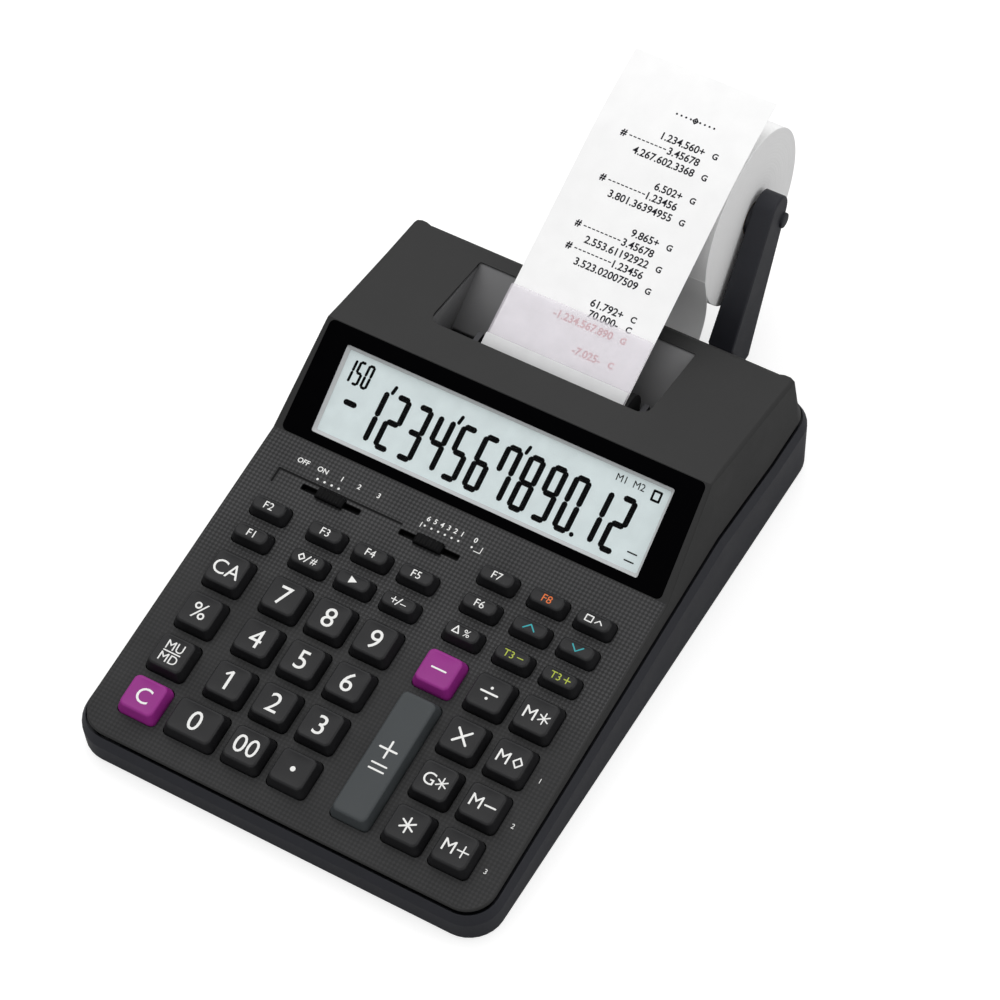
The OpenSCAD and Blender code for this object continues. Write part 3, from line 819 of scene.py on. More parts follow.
@dataclass(frozen=True)
class KnurledPlate:
    """The keyboard plate: charcoal moulding with a lattice of small raised lozenges that fades out
    around the number keys. Its colour holds painted light: a painted highlight on the lozenges,
    painted shade in the hollows between them, and painted shade of the keys where the lattice fades."""

    name: str
    colour: Triple
    turn: float
    pitch_mm: float = 1.5
    depth_mm: float = 0.14
    roughness: float = 0.46
    fade_y: Pair = (-0.092, -0.062)
    # Share of the lattice left among the number keys; the colour there goes dark with it, as painted shade of
    # the keys.
    faded_share: float = 0.3
    # Colour shares: painted shade in the lattice's hollows, painted highlight on its lozenges.
    dark_share: float = 0.4
    light_share: float = 1.9

    def material(self) -> Material:
        """Height is the product of two sines that cross at right angles, cut off at its middle.

        Returns:
            The material.
        """
        board = Board(self.name)
        where = board.coordinates(self.turn)
        axes = board.add("ShaderNodeSeparateXYZ", {"Vector": where}).outputs
        step = math.pi * 1000.0 / self.pitch_mm
        rising = board.maths("ADD", axes["X"], axes["Y"])
        falling = board.maths("SUBTRACT", axes["X"], axes["Y"])
        one = board.maths("SINE", board.maths("MULTIPLY", rising, step))
        two = board.maths("SINE", board.maths("MULTIPLY", falling, step))
        lattice = board.maths("MULTIPLY", one, two)
        lozenge = board.carry(lattice, (-0.35, 0.55), (0.0, 1.0), "SMOOTHSTEP")
        # Fades the lattice among the number keys, which also paints the keys' shade on the plate there.
        upper = board.carry(axes["Y"], self.fade_y, (self.faded_share, 1.0), "SMOOTHSTEP")
        height = board.maths("MULTIPLY", lozenge, upper)
        grain = board.noise(where, 0.3)
        cloud = board.noise(where, 16.0, 4.0)
        base = linear(*self.colour)
        # Hollows and the faded region take the darker colour as painted shade, the lozenges the lighter one
        # as painted highlight.
        dark, light = shaded(base, self.dark_share), shaded(base, self.light_share)
        board.put("Base Color", board.blend(height, dark, light))
        rough = board.spread(cloud, self.roughness - 0.05, self.roughness + 0.07)
        board.put("Roughness", rough)
        board.put("Specular IOR Level", 0.28)
        raised = board.maths("ADD", height, board.maths("MULTIPLY", grain, 0.12))
        board.relief(raised, self.depth_mm, 0.7)
        return board.material


@dataclass(frozen=True)
class Paper:
    """Bond paper: soft fibres, barely any gloss and a trace of colour."""

    name: str
    colour: Triple = (252, 252, 252)

    def material(self) -> Material:
        """Builds the material.

        Returns:
            The material.
        """
        board = Board(self.name)
        where = board.coordinates()
        inputs = {"Vector": where, "Scale": 2600.0, "Detail": 4.0, "Distortion": 1.2}
        fibre = board.add("ShaderNodeTexNoise", inputs).outputs["Fac"]
        board.tint(board.noise(where, 9.0, 4.0), linear(*self.colour), 0.02)
        board.put("Roughness", board.spread(fibre, 0.78, 0.92))
        board.put("Specular IOR Level", 0.2)
        board.relief(fibre, 0.01, 0.6)
        return board.material


@dataclass(frozen=True)
class WoundPaper:
    """The roll's end face and rim: paper with the fine rings of its windings."""

    name: str
    colour: Triple
    centre: Pair
    layer_mm: float = 0.45

    def material(self) -> Material:
        """Rings are a sine of the distance from the roll's axis, broken up by noise.

        Returns:
            The material.
        """
        board = Board(self.name)
        source = board.add("ShaderNodeTexCoord", {}).outputs["Object"]
        place = (0.0, -self.centre[0], -self.centre[1])
        inputs = {"Vector": source, "Location": place, "Scale": (0.0, 1.0, 1.0)}
        moved = board.add("ShaderNodeMapping", inputs).outputs["Vector"]
        reach = board.add("ShaderNodeVectorMath", {0: moved}, operation="LENGTH").outputs["Value"]
        wobble = board.noise(source, 22.0, 2.0)
        turns = board.maths("MULTIPLY", reach, 2000.0 * math.pi / self.layer_mm)
        phase = board.maths("ADD", turns, board.maths("MULTIPLY", wobble, 5.0))
        rings = board.maths("MULTIPLY", board.maths("ADD", board.maths("SINE", phase), 1.0), 0.5)
        uneven = board.maths("MULTIPLY", rings, board.noise(moved, 3.0, 3.0))
        base = linear(*self.colour)
        board.put("Base Color", board.blend(uneven, base, shaded(base, 0.95)))
        board.put("Roughness", board.spread(wobble, 0.75, 0.9))
        board.put("Specular IOR Level", 0.2)
        board.relief(rings, 0.03, 0.5)
        return board.material


@dataclass(frozen=True)
class Gloss:
    """Polished plastic: a smooth coat with faint haze."""

    name: str
    colour: Triple
    roughness: float = 0.12
    alpha: float = 1.0
    specular: float = 0.5

    def material(self) -> Material:
        """Builds the material.

        Returns:
            The material.
        """
        board = Board(self.name)
        where = board.coordinates()
        haze = board.noise(where, 6.0, 4.0)
        board.tint(haze, linear(*self.colour), 0.04)
        board.put("Roughness", board.spread(haze, self.roughness * 0.8, self.roughness * 1.3))
        board.put("Alpha", self.alpha)
        board.put("Specular IOR Level", self.specular)
        board.relief(board.noise(where, 3.0, 2.0), 0.002, 0.3)
        return board.material


@dataclass(frozen=True)
class Metal:
    """Plated or rolled sheet with a faint grain along X."""

    name: str
    colour: Triple
    roughness: float = 0.38

    def material(self) -> Material:
        """Builds the material.

        Returns:
            The material.
        """
        board = Board(self.name)
        source = board.add("ShaderNodeTexCoord", {}).outputs["Object"]
        drawn = board.add("ShaderNodeMapping", {"Vector": source, "Scale": (0.05, 1.0, 1.0)})
        grain = board.noise(drawn.outputs["Vector"], 0.25)
        board.tint(grain, linear(*self.colour), 0.1)
        board.put("Metallic", 1.0)
        board.put("Roughness", board.spread(grain, self.roughness - 0.08, self.roughness + 0.1))
        board.relief(grain, 0.004, 0.5)
        return board.material


class Palette:
    """Every finish of the calculator, made once."""

    def __init__(self, form: Form) -> None:
        """Builds the materials.

        Args:
            form: the case's form, for where the plate and the roll lie.
        """
        centre = form.model(np.array([0.0, *form.roll_axis]))
        self.navy = Moulding("navy moulding", (36, 37, 43), 0.5, 0.4, 0.008, 0.06, 0.3).material()
        self.charcoal = Moulding("charcoal moulding", (38, 38, 38), 0.52, 0.3, 0.010, 0.06, 0.3).material()
        self.liner = Moulding("trough moulding", (104, 104, 105), 0.5, 0.3, 0.010).material()
        # Plate colour holds a painted highlight on the lozenges and painted shade in their hollows and among
        # the keys.
        self.plate = KnurledPlate("keyboard plate", (44, 44, 45), form.plate_tilt).material()
        self.key_black = Moulding("black key", (20, 20, 22), 0.5, 0.25, 0.005, 0.06, 0.35).material()
        self.key_purple = Moulding("purple key", (146, 38, 132), 0.45, 0.25, 0.005, 0.04, 0.3).material()
        self.key_grey = Moulding("grey key", (62, 66, 68), 0.5, 0.25, 0.006, 0.06, 0.3).material()
        self.white_print = Moulding("white print", (240, 240, 238), 0.55, 0.2, 0.004, 0.02).material()
        self.orange_print = Moulding("orange print", (226, 110, 40), 0.55, 0.2, 0.004, 0.04).material()
        self.teal_print = Moulding("teal print", (40, 160, 168), 0.55, 0.2, 0.004, 0.04).material()
        self.green_print = Moulding("yellow-green print", (176, 190, 60), 0.55, 0.2, 0.004, 0.04).material()
        # Black moulding of the knobs and the inlet; also painted shade in the switch slots and along the
        # smooth panel's step.
        self.black = Moulding("black moulding", (3, 3, 4), 0.5, 0.3, 0.008, 0.06, 0.1).material()
        self.rubber = Moulding("rubber", (24, 24, 25), 0.72, 0.5, 0.02).material()
        self.silicone = Moulding("silicone mat", (140, 143, 146), 0.6, 0.5, 0.01).material()
        self.board_green = Moulding("circuit board", (38, 96, 58), 0.3, 1.5, 0.01, 0.15).material()
        self.ink_felt = Moulding("inked felt", (30, 26, 52), 0.9, 0.25, 0.06, 0.2).material()
        self.cover = Gloss("display cover", (0, 0, 1), 0.4, 1.0, 0.02).material()
        self.pane = Gloss("display pane", (70, 72, 74), 0.3, 0.02, 0.0).material()
        self.lcd = Gloss("liquid-crystal glass", (228, 240, 241), 0.6, 1.0, 0.1).material()
        self.lcd_ink = Moulding("liquid-crystal segments", (3, 3, 4), 0.6, 0.4, 0.002, 0.06, 0.05).material()
        self.reveal = Moulding("display surround", (196, 198, 199), 0.4, 0.3, 0.006, 0.03).material()
        self.guard = Gloss("tear guard", (238, 233, 240), 0.35, 0.3, 0.15).material()
        self.guard_band = Gloss("tear guard band", (224, 224, 225), 0.4, 0.95, 0.15).material()
        self.paper = Paper("bond paper").material()
        self.roll_end = WoundPaper("wound paper", (246, 246, 246), (centre[1], centre[2])).material()
        self.card = Moulding("card core", (150, 128, 104), 0.85, 0.6, 0.02, 0.1).material()
        self.print_black = Moulding("printed figures", (34, 34, 40), 0.8, 0.3, 0.004, 0.15, 0.1).material()
        self.print_red = Moulding("red printed figures", (206, 110, 110), 0.8, 0.3, 0.004, 0.12).material()
        self.dark_steel = Metal("blackened steel", (58, 58, 60)).material()


# ---- the sub-assemblies


@dataclass
class Builder:
    """What every sub-assembly shares: the form, the finishes and how a piece joins the frame."""

    form: Form
    finish: Palette
    nodes: dict[str, Object]

    def join(self, obj: Object, body: str, slot: str, *replaced: str) -> None:
        """Joins a piece to the frame.

        Args:
            obj: the piece.
            body: the body it rides on.
            slot: its slot; not used.
            *replaced: the nodes it stands for.
        """
        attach(obj, body)
        if replaced:
            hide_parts(*replaced)
        LOG.info("%s rides on %s", obj.name, body)

    def add(
        self, name: str, shapes: list[Shape], materials: list[Material], body: str, slot: str,
        *replaced: str, holes: tuple[Shape, ...] = (), edge: float = 0.0, angle: float = 40.0,
        weighted: bool = False,
    ) -> None:
        """Makes a piece, finishes its mesh and joins it to the frame.

        Args:
            name: the piece's name.
            shapes: geometry in case millimetres.
            materials: materials in the order of the shapes' indices.
            body: the body it rides on.
            slot: its slot.
            *replaced: the nodes it stands for.
            holes: closed shapes that are taken out of it.
            edge: radius of its edges, in millimetres.
            angle: largest angle that is smoothed, in degrees.
            weighted: whether large flat faces rule the normals near them.
        """
        obj = piece(name, shapes, materials, self.form)
        if holes:
            cut(obj, holes, self.form)
        if edge:
            soften(obj, edge)
        settle(obj, angle, weighted)
        self.join(obj, body, slot, *replaced)

    def dress(self, node: str, material: Material) -> None:
        """Gives a CAD node its material."""
        mesh = self.nodes[node].data
        mesh.materials.clear()
        mesh.materials.append(material)


@dataclass
class LowerCase(Builder):
    """The navy lower shell with its chamfered rim, rear openings, hinge lugs, feet and cell bay."""

    foot_radius: float = 5.5
    foot_x: float = 65.0
    foot_y: Pair = (20.0, 217.0)
    base_draw: float = 0.3
    base_radius: float = 1.0
    shoulder_drop: float = 3.7
    lip_inset: float = 1.7
    groove_depth: float = 1.8
    wall: float = 2.2
    bay: tuple[float, float, float, float] = (53.0, 134.0, 166.0, 16.5)
    inlet: tuple[float, float, float, float] = (-29.0, 33.0, 8.0, 20.0)
    socket: Pair = (-62.0, 12.0)
    socket_radius: float = 2.75
    lug_x: Pair = (37.3, 42.3)
    lug_radius: float = 4.5
    lug_bore: float = 2.55
    tray_wall: float = 1.6

    def build(self) -> None:
        """Builds the shell and what belongs to it."""
        self.shell()
        self.lugs()
        self.bay_tray()
        self.socket_ring()
        self.feet()
        self.door()

    def shell(self) -> None:
        """Closed shell: the outline is drawn in and raised row by row, from the base edge up the wall,
        over the rim's chamfer, into the shadow groove and down the inside."""
        plan, form = self.form.plan(), self.form
        arc = np.linspace(0.0, math.pi / 2.0, 5)
        rows: list[tuple[float, float, bool]] = [
            (self.base_draw + self.base_radius * (1.0 - math.sin(a)),
             self.base_radius * (1.0 - math.cos(a)), False)
            for a in arc
        ]
        rows += [
            (0.0, -self.shoulder_drop - 0.5, True), (0.03, -self.shoulder_drop, True),
            (0.14, -self.shoulder_drop + 0.5, True), (self.lip_inset - 0.2, -0.3, True),
            (self.lip_inset, -0.1, True), (self.lip_inset + 0.15, -0.15, True),
            (self.lip_inset + 0.25, -self.groove_depth, True),
            (3.0, -self.groove_depth, True), (3.6, self.wall, False),
        ]
        loops = []
        for inset, height, on_rim in rows:
            xy = plan.inset(inset)
            z = form.rim(xy[:, 1]) + height if on_rim else np.full(len(xy), height)
            loops.append(np.column_stack([xy, z]))
        x0, x1, z0, z1 = self.inlet
        slot = prism([(229, z0), (241, z0), (241, z1), (229, z1)], x0, x1)
        half, y0, y1, _ = self.bay
        pit = prism([(y0, -2), (y1, -2), (y1, 5), (y0, 5)], -half, half)
        turn = np.arange(32) * math.pi / 16.0
        ring = np.column_stack([self.socket[0] + self.socket_radius * np.sin(turn),
                                np.zeros(32), self.socket[1] + self.socket_radius * np.cos(turn)])
        bore = loft(np.stack([ring + [0, 228, 0], ring + [0, 240, 0]]))
        self.add("lower_case_shell", [loft(np.stack(loops))], [self.finish.navy], "case", "navy_plastic",
                 "bottom_case", holes=(slot, pit, bore), edge=0.25, angle=32.0, weighted=True)

    def lugs(self) -> None:
        """Two lugs with round ends behind the rear wall, bored for the holder's pins."""
        reach, z = self.lug_radius, self.form.hinge[1]
        nose = np.array(self.form.hinge) + reach * half_circle(17)
        root = [(235.0, z + reach), (235.0, z - reach)]
        outline = np.concatenate([nose, root])
        shapes = []
        for low, high in (self.lug_x, (-self.lug_x[1], -self.lug_x[0])):
            shapes.append(prism(outline, self.form.paper_x + low, self.form.paper_x + high))
        bore = disc_outline(self.form.hinge, self.lug_bore, 32)
        bores = [prism(bore, *sorted(self.form.paper_x + side * x for x in (34.0, 46.0)))
                 for side in (1.0, -1.0)]
        self.add("hinge_lugs", shapes, [self.finish.navy], "case", "navy_plastic",
                 holes=tuple(bores), edge=0.5, angle=32.0, weighted=True)

    def bay_tray(self) -> None:
        """Open tray of the cell bay, with rounded ribs that cradle the cells."""
        half, y0, y1, top = self.bay
        middle = (y0 + y1) / 2.0
        deep = (y1 - y0) / 2.0
        wall = self.tray_wall
        loops = []
        for inset, z in ((0.0, top), (0.0, 0.0), (-wall, 0.0), (-wall, top + wall)):
            loop = rounded_loop(half - inset, deep - inset, 0.6, 3)
            loops.append(np.column_stack([loop + [0.0, middle], np.full(len(loop), z)]))
        walls = loft(np.stack(loops))
        ribs, foot = [], top - 5.0
        for x in np.linspace(-half + 12.0, half - 12.0, 5):
            angle = np.linspace(math.pi, 2.0 * math.pi, 13)
            cradle = np.column_stack([middle + deep * 0.96 * np.cos(angle), foot - 6.0 * np.sin(angle)])
            roof = [(middle + deep, foot), (middle + deep, top), (middle - deep, top)]
            ribs.append(prism(np.concatenate([cradle, roof])[::-1], x - 0.6, x + 0.6))
        self.add("cell_bay", [walls, *ribs], [self.finish.navy], "case", "navy_plastic", angle=32.0)

    def socket_ring(self) -> None:
        """Bored collar of the adaptor inlet: a small ring profile turned about the socket's axis."""
        bore = self.socket_radius
        profile = [(bore, 227.5), (bore, 237.0), (3.3, 237.35), (4.2, 237.35), (4.6, 236.9), (4.6, 227.5)]
        shape = loft(turned(profile, self.socket, 1, 40), wrapped=True)
        self.add("adaptor_inlet", [shape], [self.finish.black], "case", "navy_plastic")

    def feet(self) -> None:
        """Four feet: a disc profile with a rounded edge, turned about its own axis."""
        low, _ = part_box("feet")
        radius, height = self.foot_radius, self.form.foot_height
        profile = [(radius, 0.8), (radius, -height + 0.6), (radius - 0.2, -height + 0.18),
                   (radius - 0.7, -height), (radius - 3.2, -height), (radius - 3.5, -height + 0.25)]
        shapes = [loft(turned(profile[::-1], (x, y), 2, 40))
                  for x in (-self.foot_x, self.foot_x) for y in self.foot_y]
        self.add("rubber_feet", shapes, [self.finish.rubber], "case", "rubber", "feet")
        LOG.info("feet stand on %.4f", low.z)

    def door(self) -> None:
        """Cell door: a panel with a round hinge barrel and grip ridges."""
        half, y0, y1, _ = self.bay
        half -= 0.3
        axis_y, barrel = y1 - 1.7, 1.4
        nose = np.array([axis_y, barrel]) + barrel * half_circle(13)
        rest = [(axis_y - 1.4, 2.0), (y0 + 0.3, 2.0), (y0 + 0.3, 0.25), (y0 + 0.55, 0.0)]
        panel = prism(np.concatenate([nose, rest]), -half, half)
        pins = prism(disc_outline((axis_y, barrel), 0.8, 24), -half - 1.5, half + 1.5)
        grooves = [prism([(y, -0.5), (y + 0.8, -0.5), (y + 0.8, 0.5), (y, 0.5)], -16.0, 16.0)
                   for y in np.arange(y0 + 3.0, y0 + 12.0, 1.8)]
        self.add("cell_door", [panel], [self.finish.navy], "battery_door", "navy_plastic",
                 "battery_door", holes=tuple(grooves), edge=0.2, angle=32.0)
        self.add("cell_door_pins", [pins], [self.finish.navy], "battery_door", "navy_plastic", angle=32.0)


@dataclass
class UpperCase(Builder):
    """The charcoal upper shell: keyboard plate, display slope, printer hump and paper trough."""

    wall: float = 2.2
    skirt_gap: float = 1.1
    skirt_draw: float = 0.3
    draft: float = 0.12
    front_fillet: float = 0.8
    side_fillet: float = 0.9
    hump_fillet: float = 1.6
    rear_fillet: float = 3.0
    rear_lean: float = 0.40
    trough: tuple[float, float, float, float] = (-46.0, 42.0, 183.0, 219.0)
    trough_corner: float = 4.5
    trough_foot: Pair = (198.0, 35.5)
    openings: list[Points] = field(default_factory=list)

    def build(self) -> None:
        """Builds the shell and the trough's liner."""
        self.shell()
        self.liner()

    def outline_rows(self) -> list[Points]:
        """Rows of the wall and its edge radius. Each row is the outline drawn in by the ledge, the draft
        and a share of the fillet; the fillet's radius changes smoothly round the case.

        Returns:
            The rows, from the skirt up, of N by 3 points each.
        """
        form, plan = self.form, self.form.plan()
        drawn_in = form.ledge + self.skirt_draw
        foot = plan.inset(drawn_in)
        low = form.rim(foot[:, 1]) + self.skirt_gap
        roof = form.top(foot[:, 1])
        crest_y = form.crest[0]
        side = self.side_fillet + (self.hump_fillet - self.side_fillet) * smoothstep(
            foot[:, 1], crest_y + 1.0, crest_y + 14.0)
        facing = plan.normals[:, 1]
        radius = side + (self.rear_fillet - side) * smoothstep(facing, 0.0, 1.0)
        radius = radius + (self.front_fillet - radius) * smoothstep(-facing, 0.0, 0.8)
        radius = np.minimum(radius, 0.6 * (roof - low))
        lean = self.draft + (self.rear_lean - self.draft) * smoothstep(facing, 0.1, 1.0)
        drawn = lean * (roof - radius - low)
        rows = []
        for share in (0.0, 0.12, 0.5, 1.0):
            xy = plan.inset(drawn_in + drawn * share)
            rows.append(np.column_stack([xy, low + (roof - radius - low) * share]))
        for angle in np.linspace(0.0, math.pi / 2.0, 8)[1:]:
            xy = plan.inset(drawn_in + drawn + radius * (1.0 - math.cos(angle)))
            rows.append(np.column_stack([xy, form.top(xy[:, 1]) - radius * (1.0 - math.sin(angle))]))
        return rows

    def trough_loop(self) -> Points:
        """The trough's mouth from above: round front corners and tight rear ones.

        Returns:
            Its outline.
        """
        x0, x1, y0, y1 = self.trough
        loop = []
        rear, front = 0.8, self.trough_corner
        corners = [(x1, y1, 1, 1, rear), (x0, y1, -1, 1, rear),
                   (x0, y0, -1, -1, front), (x1, y0, 1, -1, front)]
        for quarter, (x, y, sx, sy, radius) in enumerate(corners):
            angle = np.linspace(0.0, math.pi / 2.0, 7) + quarter * math.pi / 2.0
            loop.append(np.column_stack([x - sx * radius + radius * np.cos(angle),
                                         y - sy * radius + radius * np.sin(angle)]))
        return np.concatenate(loop)

    def roof(self, edge: Points) -> Shape:
        """Triangulates the top inside its edge and outside every opening, then lifts it to the three planes.

        Args:
            edge: the last row of the wall's edge radius.

        Returns:
            The top surface.
        """
        loops = [edge[:, :2], *self.openings]
        points = np.concatenate(loops)
        edges, start = [], 0
        for loop in loops:
            count = len(loop)
            edges += [(start + i, start + (i + 1) % count) for i in range(count)]
            start += count
        for crease in (self.form.slope_y, self.form.crest[0]):
            near = np.abs(edge[:, 1] - crease)
            right = int(np.argmin(near + (edge[:, 0] < 0) * 1e3))
            left = int(np.argmin(near + (edge[:, 0] > 0) * 1e3))
            edges.append((right, left))
        found = delaunay_2d_cdt([Vector(p) for p in points.tolist()], edges, [], 0, 1e-5)
        xy = np.array([tuple(v) for v in found[0]])
        triangles = np.array([tuple(f) for f in found[2]])
        middle = xy[triangles].mean(axis=1)
        keep = inside(middle, loops[0])
        for loop in loops[1:]:
            keep &= ~inside(middle, loop)
        triangles = triangles[keep]
        a, b, c = (xy[triangles[:, i]] for i in range(3))
        signed = (b[:, 0] - a[:, 0]) * (c[:, 1] - a[:, 1]) - (b[:, 1] - a[:, 1]) * (c[:, 0] - a[:, 0])
        triangles[signed < 0] = triangles[signed < 0][:, ::-1]
        lifted = np.column_stack([xy, self.form.top(xy[:, 1])])
        return Shape(lifted, [tuple(t) for t in triangles.tolist()])

    def shell(self) -> None:
        """Skins the wall and the top, then gives them the case's thickness."""
        rows = self.outline_rows()
        skirt = loft(np.stack(rows), open_ends=True)
        top = self.roof(rows[-1])
        plate, rest = Shape(top.points, [], 1), Shape(top.points, [])
        for face in top.faces:
            on_plate = top.points[list(face)][:, 1].mean() < self.form.slope_y
            (plate if on_plate else rest).faces.append(face)
        materials = [self.finish.charcoal, self.finish.plate]
        obj = piece("upper_case_shell", [skirt, plate, rest], materials, self.form)
        weld(obj, 0.004)
        solid = obj.modifiers.new("wall", "SOLIDIFY")
        solid.thickness = self.wall * MM
        solid.offset = -1.0
        solid.use_even_offset = True
        solid.thickness_clamp = 1.0
        settle(obj, 24.0, weighted=True)
        self.join(obj, "case", "charcoal_plastic", "top_case")

    def liner(self) -> None:
        """The trough's side walls, its front lip and its floor, which slopes down towards the front."""
        x0, x1, y0, y1 = self.trough
        foot_y, foot_z = self.trough_foot
        form, wall = self.form, 1.8
        roof = form.top(np.array([y0, y1])) - self.wall
        side = [(y0 - wall, roof[0]), (y0 - wall, foot_z - 4.0), (foot_y, foot_z - 4.0),
                (y1 + wall, roof[1] - 4.5), (y1 + wall, roof[1])]
        shapes = [prism(side, x0 - wall, x0), prism(side, x1, x1 + wall)]
        lip_z = form.top(np.array([y1]))[0]
        floor = [(foot_y, foot_z), (foot_y, foot_z - wall), (y1 + wall, lip_z - wall - 1.2),
                 (y1 + wall, lip_z - 0.6), (y1 - 0.6, lip_z - 0.9)]
        shapes.append(prism(floor, x0 - 0.5, x1 + 0.5))
        front = [(y0 - wall, roof[0]), (y0 - wall, roof[0] - 10.0), (y0, roof[0] - 10.0), (y0, roof[0])]
        shapes.append(prism(front, x0, x1))
        self.add("paper_trough", shapes, [self.finish.liner], "case", "charcoal_plastic",
                 edge=0.4, angle=32.0)


# ---- keyboard


class KeyColour(Enum):
    """Which moulding a key is made of."""

    BLACK = "key_black"
    PURPLE = "key_purple"
    GREY = "key_grey"


class Ink(Enum):
    """Which print a key carries."""

    WHITE = "white_print"
    ORANGE = "orange_print"
    TEAL = "teal_print"
    GREEN = "green_print"


@dataclass(frozen=True)
class Key:
    """One key: its name, its place on the plate, its size and its label.

    A label is a list of (what, x, y, height): text or a Sign, at an offset from the middle of the top.
    """

    name: str
    x: float
    s: float
    width: float
    length: float
    label: tuple[tuple[str | Sign, float, float, float], ...]
    colour: KeyColour = KeyColour.BLACK
    ink: Ink = Ink.WHITE

    @property
    def node(self) -> str:
        """The key's node and body in the frame."""
        return f"key_{self.name}"


@dataclass
class Keyboard(Builder):
    """The 43 key caps, each on its own body."""

    columns: tuple[float, ...] = (-61.7, -38.6, -20.2, -1.8, 23.4, 43.1, 61.3)
    row_first: float = 19.5
    row_pitch: float = 18.05
    small_first: float = 89.5
    small_pitch: float = 11.95
    large: Pair = (15.2, 14.8)
    small: Pair = (14.8, 7.6)
    zero_extra: float = 4.5
    corner: float = 2.2
    rise: float = 4.8
    gap: float = 0.3
    shoulder: float = 1.9
    print_lift: float = 0.045

    def keys(self) -> list[Key]:
        """Every key of the keyboard.

        Returns:
            The keys, row by row.
        """
        digit, word, tiny = 7.6, 4.8, 3.0
        keys: list[Key] = []

        def row(r: int) -> float:
            """Distance of a row of large keys up the plate."""
            return self.row_first + (r - 1) * self.row_pitch

        def big(name: str, column: int, r: int, label: tuple, colour: KeyColour = KeyColour.BLACK) -> None:
            """Adds a large key."""
            keys.append(Key(name, self.columns[column], row(r), *self.large, label, colour))

        def little(name: str, column: int, r: int, label: tuple, ink: Ink = Ink.WHITE) -> None:
            """Adds a small key."""
            s = self.small_first + (r - 1) * self.small_pitch
            keys.append(Key(name, self.columns[column], s, *self.small, label, KeyColour.BLACK, ink))

        big("clear", 0, 1, (("C", 0, 0, 6.2),), KeyColour.PURPLE)
        big("markup", 0, 2, (("MU", 0, 2.4, 3.6), (Sign.MINUS, 0, 0, 6.5), ("MD", 0, -2.4, 3.6)))
        big("percent", 0, 3, (("%", 0, 0, 6.4),))
        big("clear_all", 0, 4, (("CA", 0, 0, 5.8),))
        zero_x = self.columns[1] - self.zero_extra / 2.0
        keys.append(Key("0", zero_x, row(1), self.large[0] + self.zero_extra, self.large[1],
                        (("0", 0, 0, digit),)))
        big("00", 2, 1, (("00", 0, 0, 7.0),))
        big("point", 3, 1, ((Sign.POINT, 0, 0, 3.2),))
        for number in range(1, 10):
            r, column = 2 + (number - 1) // 3, 1 + (number - 1) % 3
            big(str(number), column, r, ((str(number), 0, 0, digit),))
        plus_length = self.large[1] + 2.0 * self.row_pitch
        keys.append(Key("plus_equals", self.columns[4], row(2), self.large[0], plus_length,
                        ((Sign.PLUS, 0, 2.6, 6.4), (Sign.EQUALS, 0, -4.6, 5.6)), KeyColour.GREY))
        big("minus", 4, 4, ((Sign.MINUS, 0, 0, 5.4),), KeyColour.PURPLE)
        big("total", 5, 1, ((Sign.STAR, 0, 0, 5.6),))
        big("grand_total", 5, 2, (("G", -2.2, 0, word), (Sign.STAR, 2.6, 0, 4.2)))
        big("multiply", 5, 3, ((Sign.TIMES, 0, 0, 7.0),))
        big("divide", 5, 4, ((Sign.DIVIDE, 0, 0, 6.2),))
        big("memory_plus", 6, 1, (("M", -2.3, 0, word), (Sign.PLUS, 3.0, 0, 4.2)))
        big("memory_minus", 6, 2, (("M", -2.3, 0, word), (Sign.MINUS, 3.0, 0, 4.0)))
        big("memory_subtotal", 6, 3, (("M", -2.3, 0, word), (Sign.DIAMOND, 3.2, 0, 4.8)))
        big("memory_total", 6, 4, (("M", -2.3, 0, word), (Sign.STAR, 3.0, 0, 4.2)))
        little("item", 0, 1, (("F1", 0, 0, tiny),))
        little("nonadd", 1, 1, ((Sign.DIAMOND, -2.4, 0, 3.2), (Sign.SLASH, 0, 0, 2.8), ("#", 2.5, 0, 2.8)))
        little("backspace", 2, 1, ((Sign.FORWARD, 0, 0, 3.2),))
        little("sign", 3, 1,
               ((Sign.PLUS, -1.9, 0.2, 2.2), (Sign.SLASH, 0, 0, 2.8), (Sign.MINUS, 1.9, -0.4, 2.0)))
        little("delta_percent", 4, 1, ((Sign.TRIANGLE, -2.2, 0, 3.0), ("%", 1.8, 0, 2.8)))
        little("tax_minus", 5, 1, (("T3", -1.4, 0, 2.8), (Sign.MINUS, 3.0, 0, 2.2)), Ink.GREEN)
        little("tax_plus", 6, 1, (("T3", -1.4, 0, 2.8), (Sign.PLUS, 3.0, 0, 2.4)), Ink.GREEN)
        for column, name in enumerate(("time", "cost", "sell", "margin", "correct")):
            little(name, column, 2, ((f"F{column + 2}", 0, 0, tiny),))
        little("check_back", 5, 2, ((Sign.UP, 0, 0, 4.2),), Ink.TEAL)
        little("check_next", 6, 2, ((Sign.DOWN, 0, 0, 4.2),), Ink.TEAL)
        little("print", 4, 3, (("F7", 0, 0, tiny),))
        little("reprint", 5, 3, (("F8", 0, 0, tiny),), Ink.ORANGE)
        little("feed", 6, 3, ((Sign.LEAF, -1.8, 0, 2.8), (Sign.UP, 2.0, 0, 2.6)))
        return keys

    def openings(self) -> list[Points]:
        """The plate's hole for every key, seen from above."""
        found = []
        for key in self.keys():
            loop = rounded_loop(key.width / 2.0 + self.gap, key.length / 2.0 + self.gap, self.corner)
            found.append(self.form.plate(loop[:, 0] + key.x, loop[:, 1] + key.s, 0.0)[:, :2])
        return found

